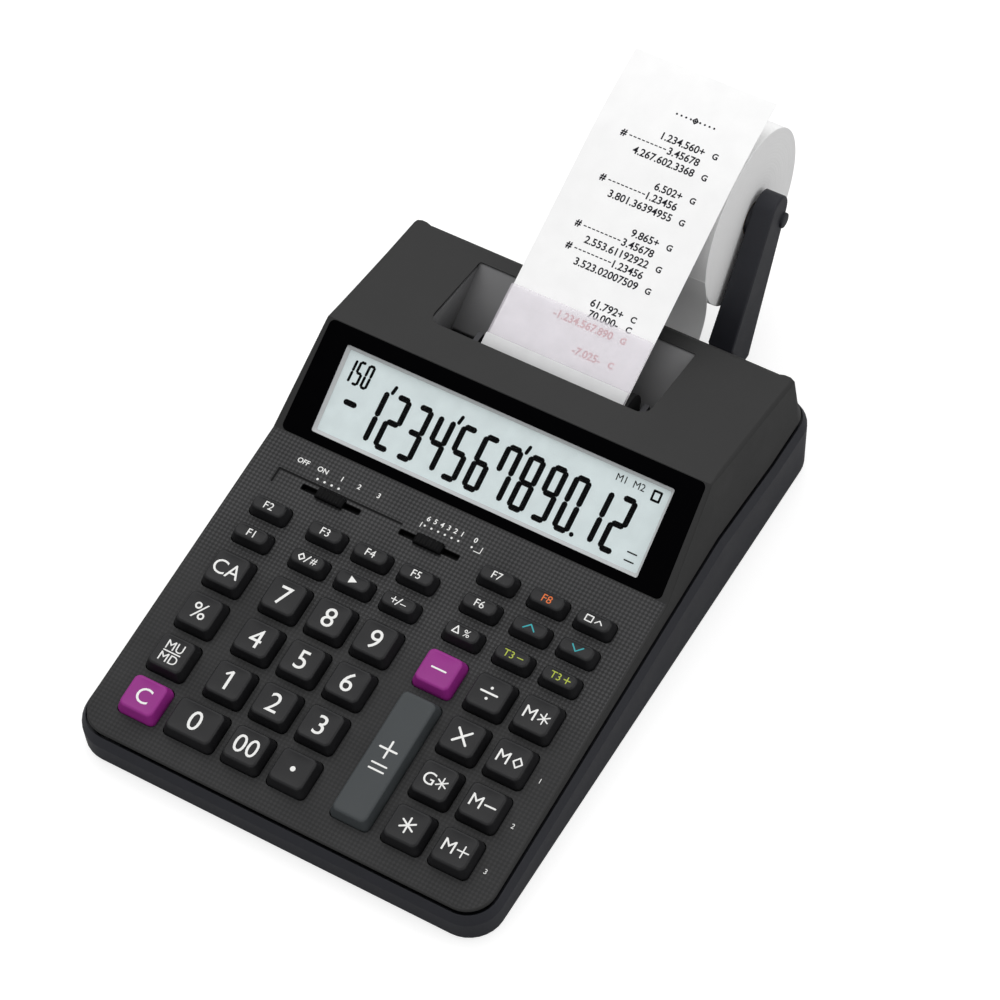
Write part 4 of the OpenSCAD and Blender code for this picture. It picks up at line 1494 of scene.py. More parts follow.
    def dish(self, key: Key, x: Points, y: Points) -> Points:
        """Height of a key's top: its rise, less a shallow dish that is deepest in the middle.

        Args:
            key: the key.
            x: across the key, from its middle.
            y: up the key, from its middle.

        Returns:
            Height above the plate.
        """
        depth = 0.3 if key.length == self.small[1] else 0.45
        across = np.clip(np.abs(x) / (key.width / 2.0 - self.shoulder), 0.0, 1.0)
        along = np.clip(np.abs(y) / (key.length / 2.0 - self.shoulder), 0.0, 1.0)
        return self.rise - depth * (1.0 - across**2) * (1.0 - along**4)

    def cap(self, key: Key) -> Shape:
        """A cap is one stack of rounded rectangles: plunger, flange, straight skirt, drawn-in side,
        rounded edge, and rings that carry the dish to the middle.

        Args:
            key: the key.

        Returns:
            The cap.
        """
        w, l, r = key.width / 2.0, key.length / 2.0, self.corner
        rows = [(2.5, 2.5, 2.5, -4.7), (2.5, 2.5, 2.5, -3.7), (w + 0.8, l + 0.8, 0.8, -3.7),
                (w + 0.8, l + 0.8, 0.8, -2.5), (w, l, r, -2.5), (w, l, r, 0.7), (w - 0.12, l - 0.12, r, 1.4)]
        side, edge = 0.95, 1.0
        rows.append((w - side, l - side, r, self.rise - edge))
        for angle in np.linspace(0.0, math.pi / 2.0, 6)[1:]:
            drawn = side + edge * (1.0 - math.cos(angle))
            rows.append((w - drawn, l - drawn, max(r - 0.9 * (drawn - side), 0.9),
                         self.rise - edge * (1.0 - math.sin(angle))))
        outer, heights = rounded_rows(rows, side=5)
        inner = outer[-1][None] * np.linspace(0.96, 0.04, 9)[:, None, None]
        loops = np.concatenate([outer, inner])
        heights = np.concatenate([heights, self.dish(key, inner[..., 0], inner[..., 1])])
        return loft(self.form.plate(loops[..., 0] + key.x, loops[..., 1] + key.s, heights))

    def legend(self, key: Key) -> list[Shape]:
        """The key's label, laid on its dish and standing a hair above it.

        Args:
            key: the key.

        Returns:
            Its marks.
        """
        shapes: list[Shape] = []
        for what, x, y, height in key.label:
            if isinstance(what, Sign):
                thin = 0.115 if height > 4.0 else 0.15
                found = Marks.moved(what.shapes(thin if what is not Sign.MINUS or height < 6.4 else 0.07),
                                    x, y, height)
            else:
                found = Marks.moved([Marks.text(what, height)], x, y)
                if what == "1":
                    flag = [(x - 0.25 * height, y + 0.26 * height), (x - 0.02 * height, y + 0.45 * height)]
                    found += Marks.path(flag, 0.1 * height)
            shapes += found
        placed = []
        for shape in shapes:
            x, y, lift = shape.points.T
            n = self.dish(key, x, y) + lift + self.print_lift
            placed.append(Shape(self.form.plate(x + key.x, y + key.s, n), shape.faces, 1))
        return placed

    def build(self) -> None:
        """Makes every cap."""
        for key in self.keys():
            colour = getattr(self.finish, key.colour.value)
            ink = getattr(self.finish, key.ink.value)
            shapes = [self.cap(key), *self.legend(key)]
            self.add(f"cap_{key.name}", shapes, [colour, ink], key.node, key.colour.value, key.node)


@dataclass
class Switches(Builder):
    """Two slide switches, the marks printed beside them, painted shade in their slots and a line of painted
    shade by the smooth panel.
    """

    places: dict[str, float] = field(default_factory=lambda: {"mode_switch": -45.5, "decimal_switch": -5.5})
    s: float = 115.2
    slot: Pair = (24.0, 2.4)
    stem: float = 0.85
    knob: Pair = (11.0, 4.0)
    rise: float = 2.2

    def openings(self) -> list[Points]:
        """The plate's slots, seen from above."""
        loop = rounded_loop(self.slot[0] / 2.0, self.slot[1] / 2.0, 0.6)
        return [self.form.plate(loop[:, 0] + x, loop[:, 1] + self.s, 0.0)[:, :2]
                for x in self.places.values()]

    def knob_shape(self, x: float) -> list[Shape]:
        """A knob whose top runs in ridges along X: height is the rise less a raised cosine's dips.

        Args:
            x: the switch's place.

        Returns:
            The knob, and its plate under the case.
        """
        half, deep = self.knob[0] / 2.0, self.knob[1] / 2.0
        u = np.linspace(-half, half, 61)
        ridge = 0.28 * (0.5 + 0.5 * np.cos(u / half * math.pi * 5.0))
        fall = 0.9 * smoothstep(np.abs(u), half * 0.82, half)
        height = self.rise - ridge - fall
        foot, brim = -2.55, 0.12
        sides = [(-self.stem, foot), (-self.stem, brim), (-deep, brim), (-deep, None), (-deep * 0.8, 0.0),
                 (deep * 0.8, 0.0), (deep, None), (deep, brim), (self.stem, brim), (self.stem, foot)]
        columns = []
        for v, kind in sides:
            fixed = kind in (foot, brim)
            n = np.full(len(u), kind) if fixed else height - (0.35 if kind is None else 0.0)
            columns.append(self.form.plate(u + x, np.full(len(u), self.s + v), n))
        body = loft(np.stack(columns, axis=1))
        body.faces = [f[::-1] for f in body.faces]
        base = rounded_loop(11.0, 2.9, 0.5)
        rows = [self.form.plate(base[:, 0] + x, base[:, 1] + self.s, n) for n in (-3.7, -2.5)]
        return [body, loft(np.stack(rows))]

    def build(self) -> None:
        """Makes both switches and the marks on the plate."""
        for node, x in self.places.items():
            self.add(node + "_knob", self.knob_shape(x), [self.finish.black], node, "switch_plastic", node)
            self.well(x)
        self.marks()

    def well(self, x: float) -> None:
        """Near-black ring down a slot's wall, painted shade that darkens the slot.

        Args:
            x: the switch's place.
        """
        outer = rounded_loop(self.slot[0] / 2.0 + 0.1, self.slot[1] / 2.0 + 0.1, 0.6)
        inner = rounded_loop(self.slot[0] / 2.0 - 0.15, self.slot[1] / 2.0 - 0.15, 0.5)
        rows = [(outer, 0.05), (inner, 0.05), (inner, -2.3), (outer, -2.3)]
        loops = [self.form.plate(loop[:, 0] + x, loop[:, 1] + self.s, n) for loop, n in rows]
        shape = loft(np.stack(loops), wrapped=True)
        # The ring stands in for the slot's shade: painted shade, not a black part.
        self.add("switch_slot_shade_ring", [shape], [self.finish.black], "case", "charcoal_plastic")

    def marks(self) -> None:
        """Generic scale marks by the switches and small figures by the keys, printed, and a black line of
        painted shade along the step round the smooth panel.
        """
        flat: list[Shape] = []
        line_s, left, step = 124.0, -10.6, 2.7
        for x, words in ((-62.0, "OFF"), (-54.0, "ON"), (-46.0, "1"), (-39.0, "2"), (-31.0, "3")):
            flat += Marks.moved([Marks.text(words, 2.0, 0.04)], x, line_s)
        flat += [Marks.dot((x, 120.1), 0.45) for x in (-53.9, -51.0, -48.1, -45.2)]
        places = {i: words for i, words in enumerate("654321 0") if words != " "}
        for i, words in places.items():
            flat += Marks.moved([Marks.text(words, 2.0, 0.04)], left + i * step, line_s)
        flat += [Marks.dot((left + i * step, 121.0), 0.4) for i in places]
        flat += Marks.path([(-12.0, 120.0), (-12.0, 121.8)], 0.3)
        flat += Marks.path([(9.6, 120.0), (12.0, 120.0), (12.0, 122.4)], 0.3)
        for i, s in enumerate((54.9, 36.6, 18.4)):
            flat += Marks.moved([Marks.text(str(i + 1), 1.9)], 73.0, s)
        # Black line of painted shade along the step at the smooth panel's edge.
        dark = Marks.path([(-68.3, 112.4), (-68.3, 118.0), (-18.2, 118.0)], 0.8)
        shapes = []
        for index, group in enumerate((flat, dark)):
            for shape in group:
                x, s, n = shape.points.T
                shapes.append(Shape(self.form.plate(x, s, n + 0.04), shape.faces, index))
        materials = [self.finish.white_print, self.finish.black]
        self.add("plate_print_and_step_shade", shapes, materials, "case", "charcoal_plastic")


# ---- display


@dataclass
class Display(Builder):
    """Glossy cover with a black border, a pale surround, the liquid-crystal glass and its segments."""

    cover: Pair = (76.3, 21.3)
    corner: float = 2.2
    taper: float = 1.3
    view: Triple = (65.6, 4.0, 37.0)
    thickness: float = 1.8
    digit_pitch: float = 9.03
    digit_first: float = -48.0
    digit_size: Pair = (6.8, 21.0)
    digit_base: float = 7.4
    stroke: float = 2.1
    slant: float = 0.055

    SEGMENTS = {"0": "abcdef", "1": "bc", "2": "abged", "3": "abgcd", "4": "fgbc", "5": "afgcd",
                "6": "afgedc", "7": "fabc", "8": "abcdefg", "9": "abcdfg", "-": "g"}

    def openings(self) -> list[Points]:
        """The slope's opening for the cover, seen from above."""
        loop = rounded_loop(self.cover[0] + 0.15, self.cover[1] + 0.15, self.corner)
        return [self.form.slope(self.narrowed(loop), loop[:, 1] + self.form.slope_run / 2.0, 0.0)[:, :2]]

    def narrowed(self, loop: Points) -> Points:
        """X of outline points, drawn in towards the crest as the case's sides are."""
        share = np.clip((loop[..., 1] + self.cover[1]) / (2.0 * self.cover[1]), 0.0, 1.0)
        outer = smoothstep(np.abs(loop[..., 0]), self.view[0] + 0.1, self.cover[0] - self.corner)
        return loop[..., 0] - np.sign(loop[..., 0]) * self.taper * share * outer

    def build(self) -> None:
        """Makes the cover, the surround, the pane and the segments."""
        w, l = self.cover
        half, low, high = self.view
        middle, view_l = (low + high) / 2.0, (high - low) / 2.0
        centre = self.form.slope_run / 2.0
        outer = [(w, l, self.corner, -self.thickness), (w, l, self.corner, -0.25),
                 (w - 0.08, l - 0.08, self.corner, -0.05), (w - 0.3, l - 0.3, self.corner - 0.2, 0.05)]
        inner = [(half, view_l, 0.8, 0.05), (half, view_l, 0.8, -self.thickness)]
        loops, heights = rounded_rows(outer + inner)
        lift = np.repeat([centre, middle], [len(outer), len(inner)])[:, None]
        cover = loft(self.form.slope(self.narrowed(loops), loops[..., 1] + lift, heights), wrapped=True)
        self.add("display_border", [cover], [self.finish.cover], "case", "display_cover",
                 "display_window", weighted=True)
        wide, narrow = (half - 0.02, view_l - 0.02, 0.8), (half - 1.25, view_l - 1.25, 0.5)
        loops, heights = rounded_rows([(*wide, -0.35), (*narrow, -1.6), (*narrow, -1.78), (*wide, -1.78)])
        surround = loft(self.form.slope(loops[..., 0], loops[..., 1] + middle, heights), wrapped=True)
        surround.faces = [f[::-1] for f in surround.faces]
        self.add("display_surround", [surround], [self.finish.reveal], "case", "display_cover", angle=30.0)
        loop = rounded_loop(half - 0.03, view_l - 0.03, 0.8)
        pane = [self.form.slope(loop[:, 0], loop[:, 1] + middle, n) for n in (-0.32, -0.02)]
        self.add("display_pane", [loft(np.stack(pane))], [self.finish.pane], "case", "display_cover",
                 angle=30.0)
        self.segments()
        self.dress("lcd_panel", self.finish.lcd)

    def figure(
        self, sign: str, x: float, base: float, width: float, height: float, stroke: float
    ) -> list[Shape]:
        """Seven-segment figure: each segment is a flat bar with pointed ends, leaning by the slant.

        Args:
            sign: the figure.
            x: its middle.
            base: its foot, up the slope.
            width: between the middles of its upright bars.
            height: between the middles of its level bars.
            stroke: width of a bar.

        Returns:
            The lit segments.
        """
        half, mid, gap = width / 2.0, height / 2.0, 0.03 * stroke
        ends = {
            "a": ((-half, height), (half, height)), "g": ((-half, mid), (half, mid)),
            "d": ((-half, 0.0), (half, 0.0)), "f": ((-half, mid), (-half, height)),
            "b": ((half, mid), (half, height)), "e": ((-half, 0.0), (-half, mid)),
            "c": ((half, 0.0), (half, mid)),
        }
        found = []
        for name in self.SEGMENTS[sign]:
            a, b = (np.array(p, float) for p in ends[name])
            along = (b - a) / np.linalg.norm(b - a)
            across = np.array([-along[1], along[0]]) * stroke / 2.0
            a, b = a + along * gap, b - along * gap
            inset, blunt = along * stroke * 0.34, 0.45
            outline = np.array([
                a - across * blunt, a + inset - across, b - inset - across, b - across * blunt,
                b + across * blunt, b - inset + across, a + inset + across, a + across * blunt,
            ])
            outline[:, 0] += self.slant * outline[:, 1] + x
            outline[:, 1] += base
            found.append(Marks.polygon(outline))
        return found

    def segments(self) -> None:
        """The figures that are lit: a twelve-digit number, its sign and point, and a small counter."""
        shapes: list[Shape] = []
        width, height = self.digit_size[0] - self.stroke, self.digit_size[1] - self.stroke
        base = self.digit_base + self.stroke / 2.0
        for i, sign in enumerate("123456789012"):
            x = self.digit_first + i * self.digit_pitch
            shapes += self.figure(sign, x - self.slant * height / 2.0, base, width, height, self.stroke)
        shapes += Marks.path([(-58.2, 18.2), (-55.0, 18.2)], self.stroke)
        shapes.append(Marks.dot((self.digit_first + 9.5 * self.digit_pitch - 0.4, base - 0.1), 0.85))
        for i in (0.5, 3.5, 6.5):
            x = self.digit_first + i * self.digit_pitch + 0.3
            shapes += Marks.path([(x + 0.35, 29.9), (x - 0.25, 27.6)], 1.3)
        for i, sign in enumerate("150"):
            shapes += self.figure(sign, -61.8 + i * 3.6, 25.0, 1.95, 8.2, 1.0)
        for x, words in ((46.0, "M1"), (53.0, "M2")):
            shapes += Marks.moved([Marks.text(words, 2.7)], x, 33.0)
        frame = [(58.6, 30.5), (61.4, 30.5), (61.4, 33.8), (58.6, 33.8), (58.6, 30.5)]
        shapes += Marks.path(frame, 0.8)
        for d in (8.0, 11.0):
            shapes += Marks.path([(58.4, d), (61.8, d)], 0.5)
        placed = []
        for shape in shapes:
            x, d, n = shape.points.T
            placed.append(Shape(self.form.slope(x, d, n - self.thickness + 0.05), shape.faces))
        self.add("lit_segments", placed, [self.finish.lcd_ink], "case", "lcd_glass")


# ---- printer and paper


class Row(Enum):
    """What a printed row is."""

    AMOUNT = "black figures and a letter"
    COUNT = "dots before black figures"
    RULE = "ruled line"
    RED = "red figures and a letter"


@dataclass
class Printer(Builder):
    """The printed strip with its figures, the clear guard, the rollers and the frame."""

    platen: Pair = (190.5, 41.0)
    path_radius: float = 7.9
    rise: float = math.radians(25.0)
    leave: float = math.radians(115.0)
    length: float = 122.0
    sag: float = 4.0
    strip_thickness: float = 0.16
    guard_length: float = 25.0
    chassis_top: float = 44.3
    guard_lift: float = 0.95
    inlet: Pair = (236.0, 15.0)
    bend: Pair = (249.5, 33.5)
    waypoints: tuple[Pair, ...] = ((225.0, 11.5), (213.0, 15.5))
    print_right: float = 13.4
    print_height: float = 2.9

    @property
    def start(self) -> Points:
        """[y, z] where the strip leaves the platen."""
        heading = np.array([math.cos(self.leave), math.sin(self.leave)])
        return np.array(self.platen) + self.path_radius * heading

    def over(self, x: Points, up: Points, lift: Points) -> Points:
        """Carries points of the leaving strip to the case's axes.

        Args:
            x: across.
            up: distance from the platen.
            lift: height over the strip.

        Returns:
            The points.
        """
        x, up, lift = np.broadcast_arrays(x, up, lift)
        cosine, sine = math.cos(self.rise), math.sin(self.rise)
        y = self.start[0] + up * cosine - lift * sine
        z = self.start[1] + up * sine + lift * cosine
        return np.stack([x, y, z], axis=-1)

    def curl(self, x: Points, up: Points) -> Points:
        """How far the free strip leaves its plane: it bows up across its width, and its end sags.

        Args:
            x: across.
            up: distance from the platen.

        Returns:
            A height for each.
        """
        across = (np.asarray(x) - self.form.paper_x) / (self.form.paper_width / 2.0)
        past = np.clip((np.asarray(up) - 80.0) / (self.length - 80.0), 0.0, 1.0)
        return 0.5 * (across**2) * smoothstep(up, 20.0, self.length) - self.sag * past**2

    def build(self) -> None:
        """Builds the strip, its print, the guard and the rollers."""
        self.strip()
        self.web()
        self.figures()
        self.guard()
        self.dress("platen_roller", self.finish.rubber)
        self.dress("ink_roller", self.finish.ink_felt)
        self.chassis()

    def chassis(self) -> None:
        """The side plates, base and motor, with the plates' upper edges kept below the trough's floor."""
        mesh = self.nodes["printer_frame"].data.copy()
        top = (self.chassis_top + self.form.foot_height) * MM
        for vertex in mesh.vertices:
            vertex.co.z = min(vertex.co.z, top)
        mesh.materials.clear()
        mesh.materials.append(self.finish.dark_steel)
        self.join(show("printer_chassis", mesh), "case", "plated_steel", "printer_frame")

    def ribbon(self, name: str, path: Points, curled: bool) -> Object:
        """A strip of paper along a [y, z] path, given its thickness on both sides.

        Args:
            name: the piece's name.
            path: N by 2 points.
            curled: whether its last stretch bows across its width.

        Returns:
            The piece.
        """
        half = self.form.paper_width / 2.0
        x = np.linspace(-half, half, 25) + self.form.paper_x
        grid = np.zeros((len(path), len(x), 3))
        grid[..., 0] = x
        grid[..., 1:] = path[:, None, :]
        if curled:
            up = np.linalg.norm(path - self.start, axis=1) * (path[:, 1] > self.start[1])
            lift = self.curl(x[None, :], up[:, None])
            grid[..., 1] -= lift * math.sin(self.rise)
            grid[..., 2] += lift * math.cos(self.rise)
        shape = Shape(grid.reshape(-1, 3), grid_faces(len(path), len(x), closed=False))
        obj = piece(name, [shape], [self.finish.paper], self.form)
        solid = obj.modifiers.new("paper", "SOLIDIFY")
        solid.thickness = self.strip_thickness * MM
        solid.offset = 0.0
        return settle(obj, 50.0)

    def strip(self) -> None:
        """From the rear inlet, under and round the platen, and up to the torn end."""
        turn = np.radians(np.arange(270.0, 115.0, -7.5))
        centre = np.array(self.platen)
        wrap = centre + self.path_radius * np.column_stack([np.cos(turn), np.sin(turn)])
        up = np.linspace(0.0, self.length, 40)
        free = self.over(0.0, up, 0.0)[:, 1:]
        run = np.array([self.inlet, *self.waypoints, tuple(wrap[0])])
        share = np.linspace(0.0, 1.0, 6)[:-1, None]
        spans = [a + (b - a) * share for a, b in zip(run, run[1:])]
        obj = self.ribbon("printed_strip", np.concatenate([*spans, wrap, free]), True)
        self.join(obj, "case", "paper", "paper_tape")

    def web(self) -> None:
        """The slack stretch between the roll and the inlet: it hangs from the roll's front, bends in a
        parabola and runs down into the inlet."""
        roll = np.array(self.form.roll_axis)
        inlet = np.array(self.inlet)
        leave = roll - [self.form.roll_radius + 0.5, 0.0]
        bend = np.array(self.bend)
        before, after = bend + (leave - bend) * 0.45, bend + (inlet - bend) * 0.4
        share = np.linspace(0.0, 1.0, 15)[:, None]
        curve = before * (1.0 - share) ** 2 + 2.0 * bend * share * (1.0 - share) + after * share**2
        upper, lower = leave + (before - leave) * share[:-1], after + (inlet - after) * share[1:]
        obj = self.ribbon("paper_web", np.concatenate([upper, curve, lower]), False)
        start, end = (self.form.model(np.array([self.form.paper_x, *p])) for p in (inlet, leave))
        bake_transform(obj)
        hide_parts("paper_tape")

    def figures(self) -> None:
        """Rows of printed figures on the strip, with ruled lines; the newest rows are red."""
        rows = [
            (104.6, "", Row.RULE), (95.1, "1.234.560+", Row.AMOUNT), (90.8, "3.45678", Row.COUNT),
            (86.5, "4.267.602.3368", Row.AMOUNT), (77.2, "6.502+", Row.AMOUNT), (72.9, "1.23456", Row.COUNT),
            (68.5, "3.801.36394955", Row.AMOUNT), (58.5, "9.865+", Row.AMOUNT), (54.2, "3.45678", Row.COUNT),
            (49.9, "2.553.61192922", Row.AMOUNT), (45.6, "1.23456", Row.COUNT),
            (41.3, "3.523.02007509", Row.AMOUNT), (29.9, "61.792+", Row.AMOUNT),
            (25.9, "70.000-", Row.AMOUNT), (21.5, "-1.234.567.890", Row.RED), (11.8, "-7.025-", Row.RED),
        ]
        right = self.form.paper_x + self.print_right
        shapes: list[Shape] = []
        for up, words, kind in rows:
            if kind is Row.RULE:
                shapes += [Marks.dot((x, up), 0.4) for x in np.linspace(-0.7, 14.3, 9)]
                shapes += Marks.moved(Sign.DIAMOND.shapes(0.2), 6.8, up, 2.6)
                continue
            text = Marks.text(words, self.print_height, 0.08)
            width = np.ptp(text.points[:, 0])
            placed = Marks.moved([text], right - width / 2.0, up)
            if kind is Row.COUNT:
                dots = np.arange(right - width - 15.0, right - width - 0.6, 1.7)
                placed += [Marks.path([(x - 0.42, up), (x + 0.42, up)], 0.42)[0] for x in dots]
                placed += Marks.moved([Marks.text("#", 2.6, 0.12)], dots[0] - 2.8, up)
            else:
                tail = Marks.text("C" if len(words) % 2 else "G", 2.3, 0.1)
                placed += Marks.moved([tail], right + 4.2, up)
            for shape in placed:
                shape.material = 1 if kind is Row.RED else 0
            shapes += placed
        final = []
        for shape in shapes:
            x, up, lift = shape.points.T
            height = np.clip(lift, -0.02, 0.0) + self.strip_thickness / 2.0 + 0.03 + self.curl(x, up)
            final.append(Shape(self.over(x, up, height), shape.faces, shape.material))
        materials = [self.finish.print_black, self.finish.print_red]
        self.add("printed_figures", final, materials, "case", "paper")

    def guard(self) -> None:
        """The clear guard, with a frosted band along its lower edge."""
        half, middle, thick = self.form.paper_width / 2.0 + 0.2, self.guard_length / 2.0, 0.9
        self.sheet("tear_guard", rounded_loop(half, middle, 0.8), middle, (0.0, thick),
                   self.finish.guard, "tear_window")
        self.sheet("tear_guard_band", rounded_loop(half, 3.2, 0.5), 1.9, (thick + 0.02, thick + 0.6),
                   self.finish.guard_band)

    def sheet(
        self, name: str, loop: Points, middle: float, levels: Pair,
        material: Material, *replaced: str,
    ) -> None:
        """A flat sheet over the strip.

        Args:
            name: the piece's name.
            loop: its outline.
            middle: how far up the strip the outline's middle lies.
            levels: its lower and upper face, over the guard's own height.
            material: its material.
            *replaced: the nodes it stands for.
        """
        x = loop[:, 0] + self.form.paper_x
        faces = [self.over(x, loop[:, 1] + middle, self.guard_lift + n) for n in levels]
        self.add(name, [loft(np.stack(faces))], [material], "case", "clear_guard", *replaced,
                 edge=0.15, angle=30.0)


@dataclass
class RollHolder(Builder):
    """The hinged arms and the paper roll between them."""

    knee: Pair = (256.5, 17.0)
    eye_depth: float = 9.0
    body_depth: float = 14.0
    eye_x: Pair = (30.0, 37.0)
    body_x: Pair = (30.0, 40.0)
    slimming: float = 1.8
    core_radius: float = 6.0
    bar_radius: float = 3.4
    pin_radius: float = 2.5
    catch_radius: float = 3.0
    facets: int = 128

    def build(self) -> None:
        """Builds the arms and the roll."""
        self.arms()
        self.roll()

    @staticmethod
    def heading(start: Points, end: Points) -> tuple[Points, Points]:
        """Which way a bar points, and the shape of its round end.

        Args:
            start: its [y, z] start.
            end: its [y, z] end.

        Returns:
            Unit vector from start to end, and unit vectors over the half circle that faces that way.
        """
        ahead = (end - start) / np.linalg.norm(end - start)
        return ahead, half_circle(17, math.atan2(ahead[1], ahead[0]))

    def profile(self, inset: float) -> Points:
        """Side outline of an arm beside the roll: deep at its foot, with a round upper end.

        Args:
            inset: how far it is drawn in.

        Returns:
            N by 2 points.
        """
        roll, knee = np.array(self.form.roll_axis), np.array(self.knee)
        ahead, arc = self.heading(knee, roll)
        tip = roll + 5.0 * ahead + (self.body_depth / 2.0 - inset) * arc
        low = 3.0 + inset
        foot = [(246.8 + inset, 20.0), (251.0, 8.0), (254.0, low), (261.5 - inset, low)]
        return np.concatenate([tip, foot])

    def body(self, side: float) -> Shape:
        """The part of an arm beside the roll, with softened edges and slimmer across at the top.

        Args:
            side: 1 for the right arm, -1 for the left.

        Returns:
            The arm.
        """
        roll, knee = np.array(self.form.roll_axis), np.array(self.knee)
        ahead, _ = self.heading(knee, roll)
        low, high = self.body_x
        rows = []
        for inset, x in ((0.8, low), (0.0, low + 0.6), (0.0, high - 1.0), (0.3, high - 0.3), (1.0, high)):
            outline = self.profile(inset)
            slim = smoothstep((outline - knee) @ ahead, 30.0, 50.0)
            across = np.full(len(outline), x) - self.slimming * slim * (x - low) / (high - low)
            rows.append(np.column_stack([self.form.paper_x + side * across, outline]))
        shape = loft(np.stack(rows))
        if side < 0:
            shape.faces = [face[::-1] for face in shape.faces]
        return shape

    def arms(self) -> None:
        """Both arms, their hinge eyes, the cross bar, the hinge pins, the roll's bosses and the catches."""
        x, (low, high) = self.form.paper_x, self.eye_x
        hinge, knee, roll = (np.array(p) for p in (self.form.hinge, self.knee, self.form.roll_axis))
        self.add("holder_arms", [self.body(1.0), self.body(-1.0)], [self.finish.navy], "paper_arms",
                 "navy_plastic", "paper_arms", angle=24.0, weighted=True)
        arc = self.eye_depth / 2.0 * self.heading(hinge, knee)[1]
        stem = np.concatenate([knee + arc, hinge - arc])
        outer = self.body_x[1]
        ends = [
            (stem, low, high),
            (disc_outline(self.form.hinge, self.pin_radius), high - 1.0, high + 5.0),
            (disc_outline(self.form.roll_axis, self.core_radius - 0.12), low - 6.0, low + 1.0),
            (disc_outline(tuple(roll + [5.6, -1.6]), self.catch_radius, 24), outer - 4.5, outer - 0.6),
        ]
        rods = [prism(disc_outline(self.form.hinge, self.bar_radius), x - low - 1.0, x + low + 1.0)]
        for side in (1.0, -1.0):
            rods += [prism(outline, *sorted((x + side * near, x + side * far)))
                     for outline, near, far in ends]
        self.add("holder_rods", rods, [self.finish.navy], "paper_arms", "navy_plastic", edge=0.5, angle=30.0)

    def roll(self) -> None:
        """The roll is one turned profile: its rim, two end faces with fine windings and the core hole."""
        x, radius, half = self.form.paper_x, self.form.roll_radius, self.form.paper_width / 2.0
        reach = np.linspace(radius - 0.25, self.core_radius + 0.5, 90)
        wave = 0.015 * np.sin(reach * 5.0) + 0.01 * np.sin(reach * 1.7)
        right = np.column_stack([reach, half - 0.1 + wave])
        left = np.column_stack([reach[::-1], -half + 0.1 + wave[::-1]])
        rim = np.array([(radius, -half + 0.2), (radius, -half / 3), (radius, half / 3), (radius, half - 0.2)])
        core, side = self.core_radius, half - 0.1
        bore = np.array([(core + 0.4, side), (core, side), (core, -side), (core + 0.4, -side)])
        profile = np.concatenate([rim, right, bore, left]) + [0.0, x]
        shape = loft(turned(profile, self.form.roll_axis, 0, self.facets), wrapped=True)
        last_rim, first_bore, last_bore = 2, 93, 97
        bodies = [Shape(shape.points, [], material) for material in range(3)]
        for i, face in enumerate(shape.faces):
            row = i // self.facets
            material = 0 if row <= last_rim else 2 if first_bore <= row <= last_bore else 1
            bodies[material].faces.append(face)
        materials = [self.finish.paper, self.finish.roll_end, self.finish.card]
        obj = piece("wound_roll", bodies, materials, self.form)
        weld(obj, 0.0005)
        settle(obj, 40.0)
        self.join(obj, "paper_roll", "paper", "paper_roll")


# ---- studio


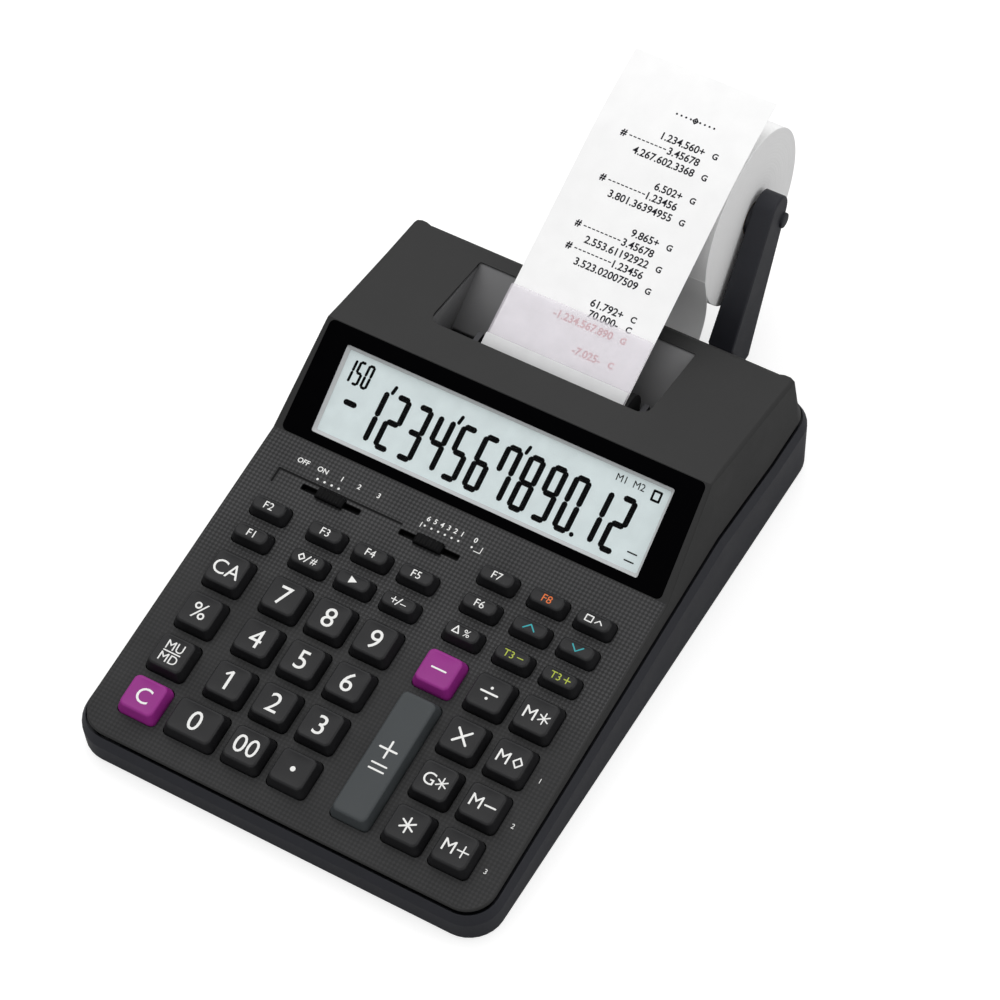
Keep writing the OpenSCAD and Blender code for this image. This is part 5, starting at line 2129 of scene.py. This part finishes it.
@dataclass
class Studio:
    """Pale floor, soft lamps and the camera."""

    form: Form
    focal_px: float = 3581.0
    frame_px: float = 1000.0
    camera_mm: Triple = (407.07, -478.85, 1034.72)
    right: Triple = (0.86267, 0.50491, -0.03196)
    up: Triple = (-0.39048, 0.70481, 0.59227)
    back: Triple = (0.32156, -0.49846, 0.80512)
    floor_grey: float = 0.45
    floor_glow: float = 0.72
    sky_strength: float = 0.56

    def build(self) -> None:
        """Makes the floor, the world, the lamps and the camera."""
        self.camera()
        self.floor()
        self.world()
        self.lamps()
        bpy.context.scene.view_settings.view_transform = "Standard"

    def camera(self) -> None:
        """A long lens at the angle and distance of the reference view."""
        data = bpy.data.cameras.new("camera")
        data.sensor_width = 36.0
        data.lens = self.focal_px / self.frame_px * data.sensor_width
        data.clip_end = 20.0
        camera = show("camera", data)
        axes = Matrix((self.right, self.up, self.back)).transposed().to_4x4()
        place = Vector(self.form.model(np.array(self.camera_mm)).tolist())
        camera.matrix_world = Matrix.Translation(place) @ axes
        bpy.context.scene.camera = camera

    def floor(self) -> None:
        """A wide pale floor that keeps the object's shadow and shows near white to the camera."""
        mesh = bpy.data.meshes.new("floor")
        far = 6.0
        mesh.from_pydata([(-far, -far, 0), (far, -far, 0), (far, far, 0), (-far, far, 0)], [], [(0, 1, 2, 3)])
        board = Board("studio floor")
        where = board.coordinates()
        cloud = board.noise(where, 900.0, 3.0)
        board.tint(cloud, (self.floor_grey,) * 3, 0.005)
        board.put("Roughness", 0.85)
        board.put("Specular IOR Level", 0.1)
        rays = board.add("ShaderNodeLightPath", {}).outputs
        board.put("Emission Color", (1.0, 1.0, 1.0, 1.0))
        board.put("Emission Strength", board.maths("MULTIPLY", rays["Is Camera Ray"], self.floor_glow))
        mesh.materials.append(board.material)
        floor = show("floor", mesh)

    def world(self) -> None:
        """White surroundings: full white where seen directly, softer where they light the object."""
        world = bpy.data.worlds.new("surroundings")
        world.use_nodes = True
        bpy.context.scene.world = world
        nodes, links = world.node_tree.nodes, world.node_tree.links
        shade = nodes["Background"]
        shade.inputs["Color"].default_value = (1.0, 1.0, 1.0, 1.0)
        shade.inputs["Strength"].default_value = self.sky_strength
        bright = nodes.new("ShaderNodeBackground")
        bright.inputs["Strength"].default_value = 1.0
        rays = nodes.new("ShaderNodeLightPath")
        mix = nodes.new("ShaderNodeMixShader")
        links.new(rays.outputs["Is Camera Ray"], mix.inputs[0])
        links.new(shade.outputs[0], mix.inputs[1])
        links.new(bright.outputs[0], mix.inputs[2])
        links.new(mix.outputs[0], nodes["World Output"].inputs["Surface"])

    def lamps(self) -> None:
        """A broad soft key lamp above and behind, and a weaker fill from the right."""
        spots = [
            ("key lamp", (-0.45, 0.45, 1.3), 1.6, 10.3),
            ("fill lamp", (1.1, 0.3, 0.7), 1.0, 3.2),
            ("front lamp", (0.1, -1.2, 0.9), 1.0, 2.0),
        ]
        for name, place, size, power in spots:
            data = bpy.data.lights.new(name, "AREA")
            data.size = size
            data.energy = power
            lamp = show(name, data)
            aim = Vector((0.0, -0.02, 0.03)) - Vector(place)
            lamp.rotation_mode = "QUATERNION"
            lamp.rotation_quaternion = aim.to_track_quat("-Z", "Y")
            lamp.location = place


def main() -> None:
    """Builds the calculator's looks around the frame, then the studio."""
    logging.basicConfig(level=logging.INFO, format="%(name)s: %(message)s")
    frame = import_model()
    form = Form()
    nodes = frame["nodes"]
    studio = Studio(form)
    studio.build()
    finish = Palette(form)
    keyboard = Keyboard(form, finish, nodes)
    switches = Switches(form, finish, nodes)
    display = Display(form, finish, nodes)
    LowerCase(form, finish, nodes).build()
    upper = UpperCase(form, finish, nodes)
    upper.openings = keyboard.openings() + switches.openings() + display.openings()
    upper.openings.append(upper.trough_loop())
    upper.build()
    display.build()
    keyboard.build()
    switches.build()
    Printer(form, finish, nodes).build()
    RollHolder(form, finish, nodes).build()
    keyboard.dress("keypad_mat", finish.silicone)
    keyboard.dress("main_board", finish.board_green)


if __name__ == "__main__":
    main()
